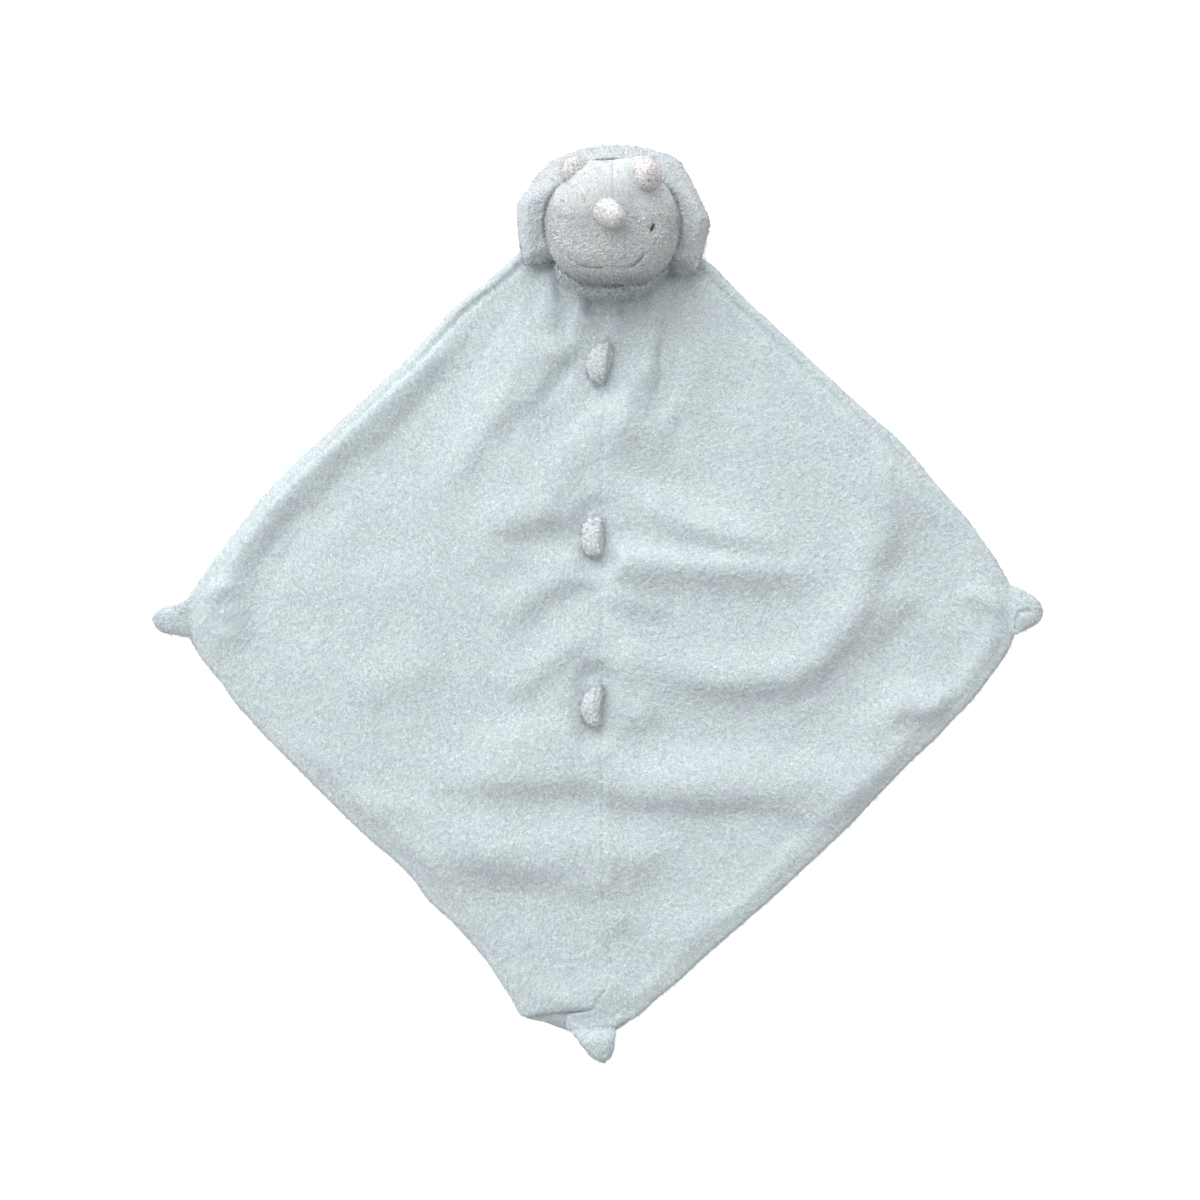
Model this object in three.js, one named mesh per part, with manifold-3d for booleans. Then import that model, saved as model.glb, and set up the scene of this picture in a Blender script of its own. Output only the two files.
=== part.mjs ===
// A plush comfort blanket: a diamond of two cloth layers lying flat, a padded horned head with a
// frill at its top corner, three plush plates in the centre seam and a knotted tip at each of the
// other corners. Millimetres. +Z is up, away from the table, and +Y runs towards the head.
import * as THREE from "three";
import { mergeVertices } from "three/addons/utils/BufferGeometryUtils.js";
import Module from "manifold-3d";

const wasm = await Module();
wasm.setup();

// Driving dimensions of the whole blanket
const overallWidth = 503.8; // left tip to right tip
const overallLength = 517.9; // top of the frill to the bottom tip
const clothThickness = 2.2; // one layer of plush with its pile
const clearance = 0.3; // between pieces that touch
const halfWidth = overallWidth / 2;
const halfLength = overallLength / 2;
const layerStep = clothThickness + clearance;
const flatTop = layerStep + clothThickness; // top of the front cloth where it has no fold

// Edges and seam of the cloth
const hem = {
  roll: 2.4, // width of the rounded edge
  drop: 1.2, // how far the edge rounds down
  settle: 14, // width over which the folds die out towards the edge
  inset: 0.8, // how far the back cloth stays inside the front cloth
};
const seam = {
  middleX: 2.5, // the centre seam lies a little right of the middle
  driftWidth: 5.5, // how far it drifts right towards the neck
  driftFromShare: 0.38, // where the drift starts and ends, as shares of half the length
  driftToShare: 0.68,
  grooveWidth: 1.1,
  grooveDepth: 1.1,
  threadRadius: 0.35,
};

// Knotted tips: length from the cloth's corner, width at its root, height, and the tip's sideways shift
const leftKnot = { length: 18.6, width: 20, height: 10, tipShift: 3, tipShare: 0.85 };
const rightKnot = { length: 20, width: 27, height: 11, tipShift: 2, tipShare: 0.75 };
const bottomKnot = { length: 18.4, width: 22, height: 11, tipShift: 8, tipShare: 0.8 };
const knotCentre = { left: -9.2, right: -4.2, bottom: -3.8 };
const knotSides = 14;

// Frill: a padded shield behind the head
const frill = {
  halfWidth: 54.4,
  reachUp: 36.9, // from its middle to its top edge
  thickness: 9,
  height: 8.2, // of its mid-plane above the table, at its middle
  tiltDegrees: 7.4, // its top edge droops towards the table
  shiftX: 0.7,
  aboveNeck: 34,
  crownPower: 4, // the higher, the flatter the pad and the fuller its rim
};
// Outline of the frill, counter-clockwise from the right lobe, as shares of halfWidth and reachUp
const frillOutlineShares = [
  [0.864, -0.93], [0.926, -0.62], [1, -0.165], [0.844, 0.325], [0.66, 0.745], [0.33, 0.93],
  [0.02, 1], [-0.4, 0.862], [-0.71, 0.63], [-0.926, 0.22], [-1, -0.087], [-0.926, -0.805],
  [-0.565, -0.84], [-0.23, -0.57], [-0.01, -0.49], [0.21, -0.57], [0.5, -0.88],
];

// Neck: the cloth's top corner gathered into a short round column
const neck = {
  radius: 8.8,
  waistRadius: 6.8,
  waistHeight: 4, // of the waist above the cloth
  shoulderHeight: 8,
  height: 18, // of its sewn end above the cloth
  threadRadius: 0.8,
};
const neckY = halfLength - frill.reachUp * Math.cos(THREE.MathUtils.degToRad(frill.tiltDegrees))
  - frill.aboveNeck;

// Head, measured from the neck's middle on the table
const head = {
  halfWidth: 35.8,
  halfLength: 32.7,
  halfHeight: 27,
  centreY: 22.5,
  centreZ: 33,
  cover: 2, // thickness of its plush cover
  cheekPower: 2.6, // the lower face is fuller than an ellipse
};
const jaw = { halfWidth: 28.5, halfLength: 18.4, halfHeight: 6.5, centreY: 4, centreZ: 20 };

// Horns: radius, length and wall, and each one's root and lean
const browHorn = {
  radius: 8.6, length: 22.5, wall: 1.5, rootX: 18.5, rootY: 45, rootZ: 41, leanShare: 0.14,
};
const noseHorn = {
  radius: 9.6, length: 20, wall: 1.5, rootX: -3.6, rootY: 25.4, rootZ: 55,
  leanXShare: 0.3, leanYShare: -0.2,
};

// Face: embroidered eyes and mouth, measured from the head's middle
const eye = { halfWidth: 1.1, halfLength: 2.5, halfThickness: 0.5, slantDegrees: 22 };
const eyePlace = { rightX: 21.6, rightY: -5.4, leftX: -27.2, leftY: -1.2 };
const mouthThread = 0.55;
// Mouth line as shares of the head's half width and half length, from left to right
const mouthShares = [
  [-0.74, -0.5], [-0.62, -0.7], [-0.38, -0.81], [-0.08, -0.82],
  [0.28, -0.79], [0.46, -0.63], [0.54, -0.5],
];

// Plush plates in the centre seam
const plate = { length: 24.5, height: 11.5, thickness: 3.5, round: 1.2, leanDegrees: 60 };
const plateShares = { upper: 0.521, middle: 0.143, lower: -0.224 };

// Corners of the blanket's outline, placed from the knots, the neck and shares of the half sizes
const shoulder = { halfSpan: 51, rise: 9.7 };
const neckEnd = { halfSpan: 15, rise: 17 };
const tuckShares = { leftX: -0.174, leftY: -0.901, seamY: -0.89 };
const tail = { halfWidth: 6.8, tuckReachX: 29.8, tuckReachY: 16.8 };
// How much each side bows outwards and skews, as shares of its length
const bowShares = {
  upperLeft: [0.0292, -0.0088], upperRight: [0.0299, -0.0084],
  lowerLeft: [-0.0084, 0.0169], lowerRight: [0.0339, 0.0075],
};

// Main folds and hollows of the front cloth, which stands a little above the back cloth: route as shares
// of the half width and half length, height as a share of the tallest fold (a hollow's is negative) and
// breadth as a share of the broadest
const clothSwell = 4.7;
const foldTallest = 7.0;
const foldBroadest = 31.9;
const folds = [
  { routeShares: [[-0.07, 0.11], [0.28, 0.08], [0.53, 0.06]], heightShare: 1.00, breadthShare: 0.32 },
  {
    routeShares: [[0.04, -0.10], [0.23, -0.16], [0.47, -0.15], [0.59, 0.01], [0.63, 0.22]],
    heightShare: 0.83,
    breadthShare: 0.38,
  },
  { routeShares: [[0.37, -0.66], [0.28, -0.58], [0.17, -0.54]], heightShare: -0.80, breadthShare: 0.88 },
  {
    routeShares: [[-0.49, -0.57], [-0.31, -0.53], [-0.03, -0.53], [0.22, -0.56]],
    heightShare: 0.70,
    breadthShare: 0.51,
  },
  { routeShares: [[-0.30, -0.34], [-0.13, -0.30], [0.05, -0.33]], heightShare: 0.64, breadthShare: 0.44 },
  { routeShares: [[0.31, 0.32], [0.27, 0.54], [0.11, 0.66]], heightShare: -0.69, breadthShare: 0.84 },
  { routeShares: [[0.02, 0.27], [0.20, 0.18], [0.44, 0.11]], heightShare: 0.52, breadthShare: 0.32 },
  { routeShares: [[-0.54, 0.24], [-0.41, 0.40], [-0.27, 0.55]], heightShare: -0.55, breadthShare: 0.61 },
  { routeShares: [[0.48, -0.40], [0.52, -0.22], [0.66, -0.07]], heightShare: -0.50, breadthShare: 0.79 },
  { routeShares: [[-0.77, -0.11], [-0.74, 0.07], [-0.63, 0.25]], heightShare: -0.76, breadthShare: 0.28 },
  { routeShares: [[0.68, 0.00], [0.75, 0.10], [0.84, 0.18]], heightShare: -0.59, breadthShare: 0.86 },
  { routeShares: [[-0.02, -0.89], [-0.15, -0.71], [-0.22, -0.53]], heightShare: -0.42, breadthShare: 1.00 },
  { routeShares: [[0.04, -0.28], [0.28, -0.29], [0.52, -0.26]], heightShare: -0.42, breadthShare: 0.61 },
  { routeShares: [[-0.66, -0.37], [-0.75, -0.19], [-0.83, -0.01]], heightShare: -0.59, breadthShare: 0.44 },
  { routeShares: [[-0.31, 0.47], [-0.21, 0.65], [-0.09, 0.76]], heightShare: -0.78, breadthShare: 0.28 },
  {
    routeShares: [[-0.28, 0.63], [-0.44, 0.50], [-0.78, 0.18], [-0.88, -0.01]],
    heightShare: 0.94,
    breadthShare: 0.28,
  },
  { routeShares: [[-0.30, 0.16], [-0.12, 0.19], [-0.04, 0.20]], heightShare: 0.46, breadthShare: 0.37 },
  {
    routeShares: [[-0.48, -0.39], [-0.15, -0.38], [0.13, -0.42], [0.53, -0.40]],
    heightShare: 0.51,
    breadthShare: 0.43,
  },
  { routeShares: [[0.14, -0.56], [0.03, -0.37], [0.03, -0.20]], heightShare: -0.53, breadthShare: 0.75 },
  { routeShares: [[-0.46, 0.03], [-0.51, 0.21], [-0.61, 0.34]], heightShare: -0.30, breadthShare: 0.92 },
  { routeShares: [[0.16, -0.86], [0.06, -0.76], [-0.02, -0.69]], heightShare: -0.36, breadthShare: 0.71 },
  { routeShares: [[0.54, -0.52], [0.38, -0.48], [0.26, -0.43]], heightShare: -0.45, breadthShare: 0.35 },
];
const foldEndShare = 0.22; // each fold fades in and out over this share of its route
const foldSamples = 14;

// How finely the pieces are cut
const clothColumns = 14;
const sideRows = 13;
const roundSteps = 20;
const headRings = 12;
const hornSides = 14;
const frillRings = 8;
const eyeSides = 10;
const eyeRings = 6;
const plateSteps = 10;
const bevelSteps = 2;
const seamSteps = 88;
const threadSides = 5;

// Colours and finish
const plushBlue = { color: 0xd0dadd, roughness: 0.95, metalness: 0 };
const plushHead = { color: 0xc9d3d6, roughness: 0.95, metalness: 0 };
const plushCream = { color: 0xe6e4e0, roughness: 0.92, metalness: 0 };
const fibreWhite = { color: 0xf2f2ee, roughness: 1, metalness: 0 };
const threadBlue = { color: 0xc2ced2, roughness: 0.7, metalness: 0 };
const threadBrown = { color: 0x4a3d30, roughness: 0.6, metalness: 0 };
const threadGrey = { color: 0x8a8f8f, roughness: 0.7, metalness: 0 };

// Meshes and solids

function mesh(name, geometry, finish) {
  const piece = new THREE.Mesh(geometry, new THREE.MeshStandardMaterial(finish));
  piece.name = name;
  return piece;
}

// Keeps positions only and joins the vertices that lie together, so a geometry is one closed skin
function welded(geometry) {
  const skin = geometry.clone();
  skin.deleteAttribute("normal");
  skin.deleteAttribute("uv");
  return mergeVertices(skin);
}

function finished(geometry) {
  const skin = welded(geometry);
  skin.computeVertexNormals();
  return skin;
}

function solid(geometry) {
  const skin = welded(geometry);
  return new wasm.Manifold(new wasm.Mesh({
    numProp: 3,
    vertProperties: new Float32Array(skin.attributes.position.array),
    triVerts: new Uint32Array(skin.index.array),
  }));
}

function fromSolid(body) {
  const cut = body.getMesh();
  const geometry = new THREE.BufferGeometry();
  geometry.setAttribute("position", new THREE.BufferAttribute(new Float32Array(cut.vertProperties), 3));
  geometry.setIndex(new THREE.BufferAttribute(new Uint32Array(cut.triVerts), 1));
  geometry.computeVertexNormals();
  return geometry;
}

// Moves each vertex of a unit shape to its place
function shaped(geometry, place) {
  const points = geometry.attributes.position;
  const point = new THREE.Vector3();
  for (let i = 0; i < points.count; i += 1) {
    point.fromBufferAttribute(points, i);
    place(point);
    points.setXYZ(i, point.x, point.y, point.z);
  }
  return geometry;
}

function lengthwiseEase(value, from, to) {
  return THREE.MathUtils.smoothstep(value, from, to);
}

// The blanket's outline

function seamX(y) {
  return seam.middleX
    + seam.driftWidth
    * lengthwiseEase(y, halfLength * seam.driftFromShare, halfLength * seam.driftToShare);
}
const neckX = seamX(neckY);

const cornerX = {
  left: -halfWidth + leftKnot.length,
  right: halfWidth - rightKnot.length,
};
const tailY = -halfLength + bottomKnot.length;

const outline = {
  neckLeft: new THREE.Vector2(neckX - neckEnd.halfSpan, neckY + neckEnd.rise),
  neckRight: new THREE.Vector2(neckX + neckEnd.halfSpan, neckY + neckEnd.rise),
  shoulderLeft: new THREE.Vector2(neckX - shoulder.halfSpan, neckY + shoulder.rise),
  shoulderRight: new THREE.Vector2(neckX + shoulder.halfSpan, neckY + shoulder.rise),
  leftTop: new THREE.Vector2(cornerX.left, knotCentre.left + leftKnot.width / 2),
  leftBottom: new THREE.Vector2(cornerX.left, knotCentre.left - leftKnot.width / 2),
  rightTop: new THREE.Vector2(cornerX.right, knotCentre.right + rightKnot.width / 2),
  rightBottom: new THREE.Vector2(cornerX.right, knotCentre.right - rightKnot.width / 2),
  tuckLeft: new THREE.Vector2(halfWidth * tuckShares.leftX, halfLength * tuckShares.leftY),
  tuckRight: new THREE.Vector2(seam.middleX + tail.tuckReachX, tailY + tail.tuckReachY),
  tailRight: new THREE.Vector2(seam.middleX + tail.halfWidth, tailY),
};

// A side that bows outwards, and skews, between two corners; outwards is to the left or right of it
function bowedSide(start, end, shares, steps, outwardSign) {
  const along = end.clone().sub(start);
  const outward = new THREE.Vector2(along.y, -along.x).multiplyScalar(outwardSign);
  const points = [];
  for (let i = 1; i <= steps; i += 1) {
    const t = i / steps;
    const bulge = shares[0] * Math.sin(Math.PI * t) + shares[1] * Math.sin(2 * Math.PI * t);
    points.push(start.clone().addScaledVector(along, t).addScaledVector(outward, bulge));
  }
  return points;
}

// Both sides run from the neck down to the tail
const leftSide = [
  outline.neckLeft,
  outline.neckLeft.clone().lerp(outline.shoulderLeft, 0.5),
  outline.shoulderLeft,
  ...bowedSide(outline.shoulderLeft, outline.leftTop, bowShares.upperLeft, sideRows, 1),
  outline.leftBottom,
  ...bowedSide(outline.leftBottom, outline.tuckLeft, bowShares.lowerLeft, sideRows, 1),
];
const rightSide = [
  outline.neckRight,
  outline.neckRight.clone().lerp(outline.shoulderRight, 0.5),
  outline.shoulderRight,
  ...bowedSide(outline.shoulderRight, outline.rightTop, bowShares.upperRight, sideRows, -1),
  outline.rightBottom,
  ...bowedSide(outline.rightBottom, outline.tuckRight, bowShares.lowerRight, sideRows, -1),
  outline.tailRight,
];

// Folds of the front cloth

const foldCurves = folds.map((fold) => {
  const points = fold.routeShares.map((share) => (
    new THREE.Vector3(share[0] * halfWidth, share[1] * halfLength, 0)
  ));
  return new THREE.CatmullRomCurve3(points).getPoints(foldSamples);
});

function foldHeight(index, x, y) {
  const height = foldTallest * folds[index].heightShare;
  const breadth = foldBroadest * folds[index].breadthShare;
  const points = foldCurves[index];
  let lift = 0;
  points.forEach((point, i) => {
    const t = i / foldSamples;
    const fade = lengthwiseEase(t, 0, foldEndShare) * lengthwiseEase(1 - t, 0, foldEndShare);
    const distance = Math.hypot(x - point.x, y - point.y) / breadth;
    lift = Math.max(lift, height * fade * Math.exp(-distance * distance));
  });
  return lift;
}

// Folds die out by the seam's plates, which lie on flat cloth, and under the head, where the lobes of
// the frill come down when it nods
function plateCalm(x, y) {
  let calm = 1;
  Object.values(plateShares).forEach((share) => {
    const beyond = Math.max(0, Math.abs(y - share * halfLength) - plate.length / 2);
    const distance = Math.hypot(x - seamX(y), beyond);
    calm = Math.min(calm, lengthwiseEase(distance, plate.height, 2 * plate.height));
  });
  return calm;
}

function headCalm(x, y) {
  const distance = Math.hypot(x - neckX, y - neckY - head.centreY);
  return lengthwiseEase(distance, frill.halfWidth + neckEnd.rise / 2, 1.5 * frill.halfWidth);
}

function clothLift(x, y, edgeDistance) {
  const sum = folds.reduce((total, fold, i) => total + foldHeight(i, x, y), 0);
  const edgeCalm = lengthwiseEase(edgeDistance, 0, hem.settle);
  const tailCalm = lengthwiseEase(y, outline.tuckLeft.y, outline.tuckLeft.y + 2 * hem.settle);
  return Math.max(0, clothSwell + sum) * edgeCalm * tailCalm * plateCalm(x, y) * headCalm(x, y);
}

// Cloth layers

// Places a grid of a unit box between a side and the seam. Across runs towards +X.
function frontPanel(side, sideSign) {
  const rows = side.length - 1;
  const seamEndY = sideSign < 0 ? halfLength * tuckShares.seamY : side[rows].y;
  const box = new THREE.BoxGeometry(1, 1, 1, clothColumns + 2, rows, 1);
  const seamPoint = (row) => {
    const t = (side[row].y - side[0].y) / (side[rows].y - side[0].y);
    const y = THREE.MathUtils.lerp(side[0].y, seamEndY, t);
    return new THREE.Vector2(seamX(y) + sideSign * clearance / 2, y);
  };
  return finished(shaped(box, (point) => {
    const row = Math.round((0.5 - point.y) * rows);
    const column = Math.round((point.x + 0.5) * (clothColumns + 2));
    const outer = side[row];
    const inner = seamPoint(row);
    const width = outer.distanceTo(inner);
    const fromSeam = sideSign > 0 ? column : clothColumns + 2 - column;
    const shares = [0, seam.grooveWidth / width];
    for (let i = 1; i < clothColumns; i += 1) {
      shares.push(THREE.MathUtils.lerp(shares[1], 1 - hem.roll / width, i / clothColumns));
    }
    shares.push(1 - hem.roll / width, 1);
    const place = inner.clone().lerp(outer, shares[fromSeam]);
    const endGap = Math.min(side[0].y - place.y, place.y - side[rows].y);
    const edgeDistance = Math.min((1 - shares[fromSeam]) * width, Math.max(0, endGap));
    const lift = clothLift(place.x, place.y, edgeDistance);
    const upper = point.z > 0;
    const atHem = fromSeam === clothColumns + 2 || row === 0 || row === rows;
    const atSeam = fromSeam === 0;
    const sunk = upper ? (atHem ? hem.drop : 0) + (atSeam && !atHem ? seam.grooveDepth : 0) : 0;
    point.set(place.x, place.y, lift + (upper ? flatTop : layerStep) - sunk);
  }));
}

// The back cloth lies flat. Its tip comes out under the tuck and carries the bottom knot.
function backPanel() {
  const shape = new THREE.Shape();
  const middle = new THREE.Vector2(seam.middleX, 0);
  const inset = (point) => point.clone().add(middle.clone().sub(point).setLength(hem.inset));
  const tongue = [
    new THREE.Vector2(outline.tuckLeft.x + hem.settle, outline.tuckLeft.y - hem.roll),
    new THREE.Vector2(knotCentre.bottom - bottomKnot.width / 2, tailY),
  ];
  const points = [...leftSide, ...tongue, ...rightSide.slice().reverse()];
  points.forEach((point, i) => {
    const place = inset(point);
    if (i === 0) shape.moveTo(place.x, place.y);
    else shape.lineTo(place.x, place.y);
  });
  shape.closePath();
  const bevel = clothThickness / 4;
  const geometry = new THREE.ExtrudeGeometry(shape, {
    depth: clothThickness - 2 * bevel,
    bevelThickness: bevel,
    bevelSize: bevel,
    bevelOffset: -bevel,
    bevelSegments: 1,
  });
  return finished(geometry.translate(0, 0, bevel));
}

// Lift of the cloth at the seam, row by row, for one front panel
function seamRows(side, sideSign) {
  const rows = side.length - 1;
  const seamEndY = sideSign < 0 ? halfLength * tuckShares.seamY : side[rows].y;
  return side.map((outer) => {
    const t = (outer.y - side[0].y) / (side[rows].y - side[0].y);
    const y = THREE.MathUtils.lerp(side[0].y, seamEndY, t);
    const x = seamX(y);
    const endGap = Math.max(0, Math.min(side[0].y - y, y - side[rows].y));
    return { y, lift: clothLift(x, y, Math.min(Math.hypot(outer.x - x, outer.y - y), endGap)) };
  });
}

function betweenRows(rows, y) {
  const next = Math.min(Math.max(rows.findIndex((row) => row.y <= y), 1), rows.length - 1);
  const [upper, lower] = [rows[next - 1], rows[next]];
  return THREE.MathUtils.lerp(upper.lift, lower.lift, (upper.y - y) / (upper.y - lower.y));
}

// The seam thread runs over the higher of the two panels
class SeamLine extends THREE.Curve {
  constructor(fromY, toY, above) {
    super();
    Object.assign(this, { fromY, toY, above });
    this.sides = [seamRows(leftSide, -1), seamRows(rightSide, 1)];
  }

  getPoint(t, target = new THREE.Vector3()) {
    const y = THREE.MathUtils.lerp(this.fromY, this.toY, t);
    const lifts = this.sides.map((rows) => betweenRows(rows, y));
    return target.set(seamX(y), y, this.above + Math.max(...lifts));
  }
}

function circleShape(radius, steps) {
  const shape = new THREE.Shape();
  for (let i = 0; i < steps; i += 1) {
    const angle = (2 * Math.PI * i) / steps;
    if (i === 0) shape.moveTo(radius, 0);
    else shape.lineTo(radius * Math.cos(angle), radius * Math.sin(angle));
  }
  return shape;
}

function tube(path, radius, steps, sides) {
  return finished(new THREE.ExtrudeGeometry(circleShape(radius, sides), {
    steps,
    extrudePath: path,
    bevelEnabled: false,
  }));
}

function seamThread() {
  const fromY = halfLength * tuckShares.seamY + hem.settle / 2;
  const toY = neckY - neck.radius - hem.settle / 2;
  const above = flatTop - seam.threadRadius;
  return tube(new SeamLine(fromY, toY, above), seam.threadRadius, seamSteps, threadSides);
}

// Knots

// A rounded knot that grows along -X from its root at the origin, where the cloth ends
function knot(size) {
  const profileShares = [
    [0, 0], [0.86, 0], [0.94, 0.07], [0.96, 0.2], [0.84, 0.31], [0.9, 0.42],
    [0.92, 0.58], [0.82, 0.74], [0.6, 0.89], [0.32, 0.97], [0, 1],
  ];
  const points = profileShares.map((share) => new THREE.Vector2(share[0], share[1]));
  const lathe = new THREE.LatheGeometry(points, knotSides);
  return finished(shaped(lathe, (point) => {
    const share = point.y;
    const across = point.x * (size.width / 2) * THREE.MathUtils.lerp(1, size.tipShare, share);
    point.set(
      -clearance - share * (size.length - clearance),
      across + size.tipShift * share * share,
      point.z * (size.height / 2) + size.height / 2 + clearance,
    );
  }));
}

// Soft forms of the head

// A crowned pad: the outline runs round a middle, and its two faces swell to the given half thickness
function pillow(outlinePoints, halfThickness, shrink, around, up, power) {
  const curve = new THREE.CatmullRomCurve3(outlinePoints, true);
  const sphere = new THREE.SphereGeometry(1, around, up);
  sphere.rotateX(Math.PI / 2);
  return shaped(sphere, (point) => {
    const ring = Math.min(1, Math.hypot(point.x, point.y));
    const turn = (Math.atan2(point.y, point.x) / (2 * Math.PI) + 1) % 1;
    const edge = curve.getPoint(turn);
    const reach = ring * (edge.length() - shrink);
    const swell = Math.sqrt(Math.max(0, 1 - ring ** power));
    edge.setLength(Math.max(reach, 1e-9));
    point.set(edge.x, edge.y, Math.sign(point.z) * swell * (halfThickness - shrink));
  });
}

function headForm(grow) {
  const sphere = new THREE.SphereGeometry(1, roundSteps, headRings);
  return shaped(sphere, (point) => {
    const ring = Math.hypot(point.x, point.z);
    const plain = Math.sqrt(Math.max(0, 1 - point.y * point.y));
    const power = head.cheekPower;
    const full = point.y < 0 ? Math.max(0, 1 - (-point.y) ** power) ** (1 / power) : plain;
    const widen = ring > 1e-6 && plain > 1e-6 ? full / plain : 1;
    point.set(
      point.x * widen * (head.halfWidth + grow),
      head.centreY + point.y * (head.halfLength + grow),
      head.centreZ + point.z * widen * (head.halfHeight + grow),
    );
  });
}

const frillTilt = THREE.MathUtils.degToRad(-frill.tiltDegrees);
const frillPlace = new THREE.Vector3(frill.shiftX, frill.aboveNeck, frill.height);
const frillMatrix = new THREE.Matrix4().makeRotationX(frillTilt).setPosition(frillPlace);

// Everything above the frill's front face, raised by the given amount
function aboveFrill(raise) {
  const size = 4 * (frill.halfWidth + frill.reachUp);
  const box = new THREE.BoxGeometry(size, size, size);
  box.translate(0, 0, size / 2 + frill.thickness / 2 + raise);
  box.applyMatrix4(frillMatrix);
  return solid(box);
}

function neckHole() {
  const radius = neck.radius + 2 * clearance;
  const top = flatTop + clearance + neck.height + 2 * clearance;
  const hole = new THREE.CylinderGeometry(radius, radius, 2 * top, roundSteps);
  hole.rotateX(Math.PI / 2);
  return solid(hole);
}

function halfSpace(sign) {
  const size = 4 * head.halfWidth;
  const box = new THREE.BoxGeometry(size, size, size);
  box.translate(sign * (size / 2 + clearance / 2), 0, 0);
  return solid(box);
}

const headBody = solid(headForm(0)).intersect(aboveFrill(clearance));
const headRoom = solid(headForm(clearance)).intersect(aboveFrill(0));
const neckRoom = neckHole();

function headCover(sign) {
  const inside = solid(headForm(-head.cover)).intersect(aboveFrill(clearance + head.cover));
  return fromSolid(headBody.subtract(inside).intersect(halfSpace(sign)).subtract(neckRoom));
}

function headFilling() {
  const shrink = head.cover + clearance;
  const inside = solid(headForm(-shrink)).intersect(aboveFrill(clearance + shrink));
  return fromSolid(inside.subtract(neckRoom));
}

function frillOutline() {
  return frillOutlineShares.map((share) => (
    new THREE.Vector3(share[0] * frill.halfWidth, share[1] * frill.reachUp, 0)
  ));
}

function frillPad(shrink) {
  const around = 2 * frillOutlineShares.length;
  return pillow(frillOutline(), frill.thickness / 2, shrink, around, frillRings, frill.crownPower);
}

function frillHalf(sign) {
  const size = 4 * (frill.halfWidth + frill.reachUp);
  const box = new THREE.BoxGeometry(size, size, size);
  box.translate(0, 0, sign * (size / 2 + clearance / 2));
  return fromSolid(solid(frillPad(0)).subtract(solid(frillPad(clothThickness))).intersect(solid(box)));
}

function frillWadding() {
  return finished(frillPad(clothThickness + clearance));
}

function lowerJaw() {
  const pad = new THREE.SphereGeometry(1, roundSteps, headRings);
  pad.scale(jaw.halfWidth, jaw.halfLength, jaw.halfHeight);
  pad.translate(0, jaw.centreY, jaw.centreZ);
  const frillRoom = solid(frillPad(-clearance).applyMatrix4(frillMatrix));
  return fromSolid(solid(pad).subtract(headRoom).subtract(neckRoom).subtract(frillRoom));
}

// Horns

// A blunt horn along +Y from its root, long enough to reach inside the head
function hornForm(radius, length) {
  const profileShares = [
    [0, 0], [1, 0], [1.02, 0.25], [0.98, 0.5], [0.88, 0.7], [0.68, 0.86], [0.4, 0.96], [0, 1],
  ];
  const points = profileShares.map((share) => new THREE.Vector2(share[0] * radius, share[1] * length));
  return new THREE.LatheGeometry(points, hornSides);
}

function hornMatrix(root, lean) {
  const turn = new THREE.Quaternion().setFromUnitVectors(new THREE.Vector3(0, 1, 0), lean.normalize());
  return new THREE.Matrix4().makeRotationFromQuaternion(turn).setPosition(root);
}

function hornCover(size, matrix) {
  const outer = solid(hornForm(size.radius, size.length).applyMatrix4(matrix));
  const hollow = hornForm(size.radius - size.wall, size.length);
  const inner = solid(hollow.translate(0, -size.wall, 0).applyMatrix4(matrix));
  return fromSolid(outer.subtract(inner).subtract(headRoom));
}

function hornFilling(size, matrix) {
  const gap = size.wall + clearance;
  const form = hornForm(size.radius - gap, size.length).translate(0, -gap, 0);
  return fromSolid(solid(form.applyMatrix4(matrix)).subtract(headRoom));
}

// Face

// The head's surface above a place on the face, measured from the head's middle
function facePoint(x, y, above) {
  const shareY = y / head.halfLength;
  const power = head.cheekPower;
  const full = shareY < 0 ? (1 - (-shareY) ** power) ** (1 / power) : Math.sqrt(1 - shareY * shareY);
  const shareX = x / (head.halfWidth * full);
  const z = head.halfHeight * full * Math.sqrt(Math.max(0, 1 - shareX * shareX));
  const outward = new THREE.Vector3(
    x / head.halfWidth ** 2, y / head.halfLength ** 2, z / head.halfHeight ** 2,
  ).normalize();
  const place = new THREE.Vector3(x, head.centreY + y, head.centreZ + z);
  return { place: place.addScaledVector(outward, above), outward };
}

function eyePad(x, y, slantSign) {
  const pad = new THREE.SphereGeometry(1, eyeSides, eyeRings);
  pad.scale(eye.halfWidth, eye.halfLength, eye.halfThickness);
  pad.rotateZ(slantSign * THREE.MathUtils.degToRad(eye.slantDegrees));
  const { place, outward } = facePoint(x, y, eye.halfThickness + clearance);
  const turn = new THREE.Quaternion().setFromUnitVectors(new THREE.Vector3(0, 0, 1), outward);
  pad.applyQuaternion(turn).translate(place.x, place.y, place.z);
  return finished(pad);
}

function mouthStitching() {
  const points = mouthShares.map((share) => (
    facePoint(share[0] * head.halfWidth, share[1] * head.halfLength, mouthThread + clearance).place
  ));
  return tube(new THREE.CatmullRomCurve3(points), mouthThread, seamSteps / 4, threadSides);
}

// Neck

function neckGather() {
  const { radius, waistRadius, waistHeight, shoulderHeight, height, threadRadius } = neck;
  const profile = [
    [0, 0], [radius, 0], [radius, waistHeight / 3], [waistRadius, waistHeight - threadRadius],
    [waistRadius, waistHeight + threadRadius], [radius, shoulderHeight],
    [radius, height - threadRadius], [radius - threadRadius, height], [0, height],
  ];
  const lathe = new THREE.LatheGeometry(profile.map((p) => new THREE.Vector2(p[0], p[1])), roundSteps);
  return finished(lathe.rotateX(Math.PI / 2));
}

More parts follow.
